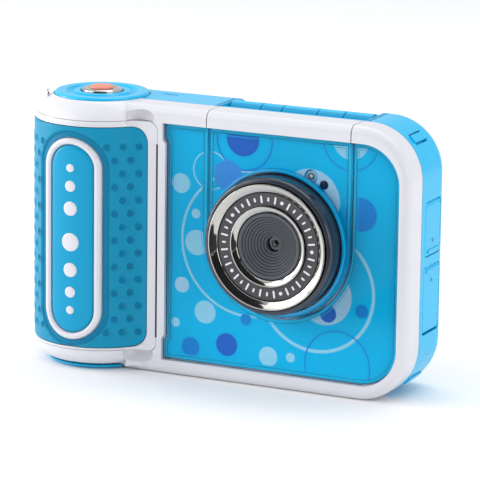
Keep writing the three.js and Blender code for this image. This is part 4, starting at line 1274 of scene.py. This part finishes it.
# ---- stage, light and camera ----
FLOOR_Z = CAD_BOUNDS[0][2]
floor_mesh = bpy.data.meshes.new("floor")
floor_corners = [(-6, -6, FLOOR_Z), (6, -6, FLOOR_Z), (6, 6, FLOOR_Z), (-6, 6, FLOOR_Z)]
floor_mesh.from_pydata(floor_corners, [], [(0, 1, 2, 3)])
floor = bpy.data.objects.new("floor", floor_mesh)
SCENE.collection.objects.link(floor)
floor_mesh.materials.append(surface("floor_paper", (0.95, 0.95, 0.95), 0.7, grain=0.0, mottle=0.0))

world = bpy.data.worlds.new("studio")
SCENE.world = world
world.use_nodes = True
world.node_tree.nodes["Background"].inputs["Color"].default_value = (0.95, 0.97, 1.0, 1)
world.node_tree.nodes["Background"].inputs["Strength"].default_value = 0.8


def lamp(name, place, size, power):
    data = bpy.data.lights.new(name, "AREA")
    data.shape = "RECTANGLE"
    data.size, data.size_y = size
    data.energy = power
    obj = bpy.data.objects.new(name, data)
    obj.location = place
    obj.rotation_euler = (Vector(place) - Vector((0, 0, 0.05))).to_track_quat("Z", "Y").to_euler()
    SCENE.collection.objects.link(obj)


def black_flag(name, corners):
    """A dark card that only reflections see, as a studio sets beside glossy things."""
    mesh = bpy.data.meshes.new(name)
    mesh.from_pydata(corners, [], [(0, 1, 2, 3)])
    mesh.materials.append(surface(name, (0.012, 0.013, 0.016), 0.9, grain=0.0, mottle=0.0))
    card = bpy.data.objects.new(name, mesh)
    card.visible_camera = False
    card.visible_diffuse = False
    card.visible_shadow = False
    SCENE.collection.objects.link(card)


near = FLOOR_Z + 0.0005
black_flag("flag_front", [(-1.5, -1.7, 0.02), (2.2, -1.5, 0.02), (2.2, -1.5, 2.6), (-1.5, -1.7, 2.6)])
black_flag("flag_floor", [(0, -1.5, near), (1.3, -1.5, near), (1.3, -0.115, near), (0, -0.115, near)])
black_flag("flag_side", [(1.3, -1.5, 0.02), (1.3, 0.1, 0.02), (1.3, 0.1, 0.9), (1.3, -1.5, 0.9)])

lamp("key", (-0.7, -0.6, 0.6), (0.7, 0.7), 2.6)
lamp("fill", (0.95, -0.3, 0.2), (0.6, 0.5), 2.2)
lamp("edge", (-0.9, -0.2, 0.25), (0.3, 0.6), 4.5)
lamp("top", (0.1, 0.3, 1.1), (1.2, 0.5), 4.6)

AZIMUTH = math.radians(25.5)
ELEVATION = math.radians(12.92)
ROLL = math.radians(0.715)
TARGET = Vector((0.01032, -0.012, 0.0516))
DISTANCE = 1.2
toward = Vector((
    math.sin(AZIMUTH) * math.cos(ELEVATION),
    -math.cos(AZIMUTH) * math.cos(ELEVATION),
    math.sin(ELEVATION),
))
camera_data = bpy.data.cameras.new("camera")
camera_data.sensor_width = 36
camera_data.lens = 260.7
camera = bpy.data.objects.new("camera", camera_data)
camera.location = TARGET + toward * DISTANCE
camera.rotation_mode = "QUATERNION"
camera.rotation_quaternion = toward.to_track_quat("Z", "Y") @ Matrix.Rotation(ROLL, 4, "Z").to_quaternion()
SCENE.collection.objects.link(camera)
SCENE.camera = camera
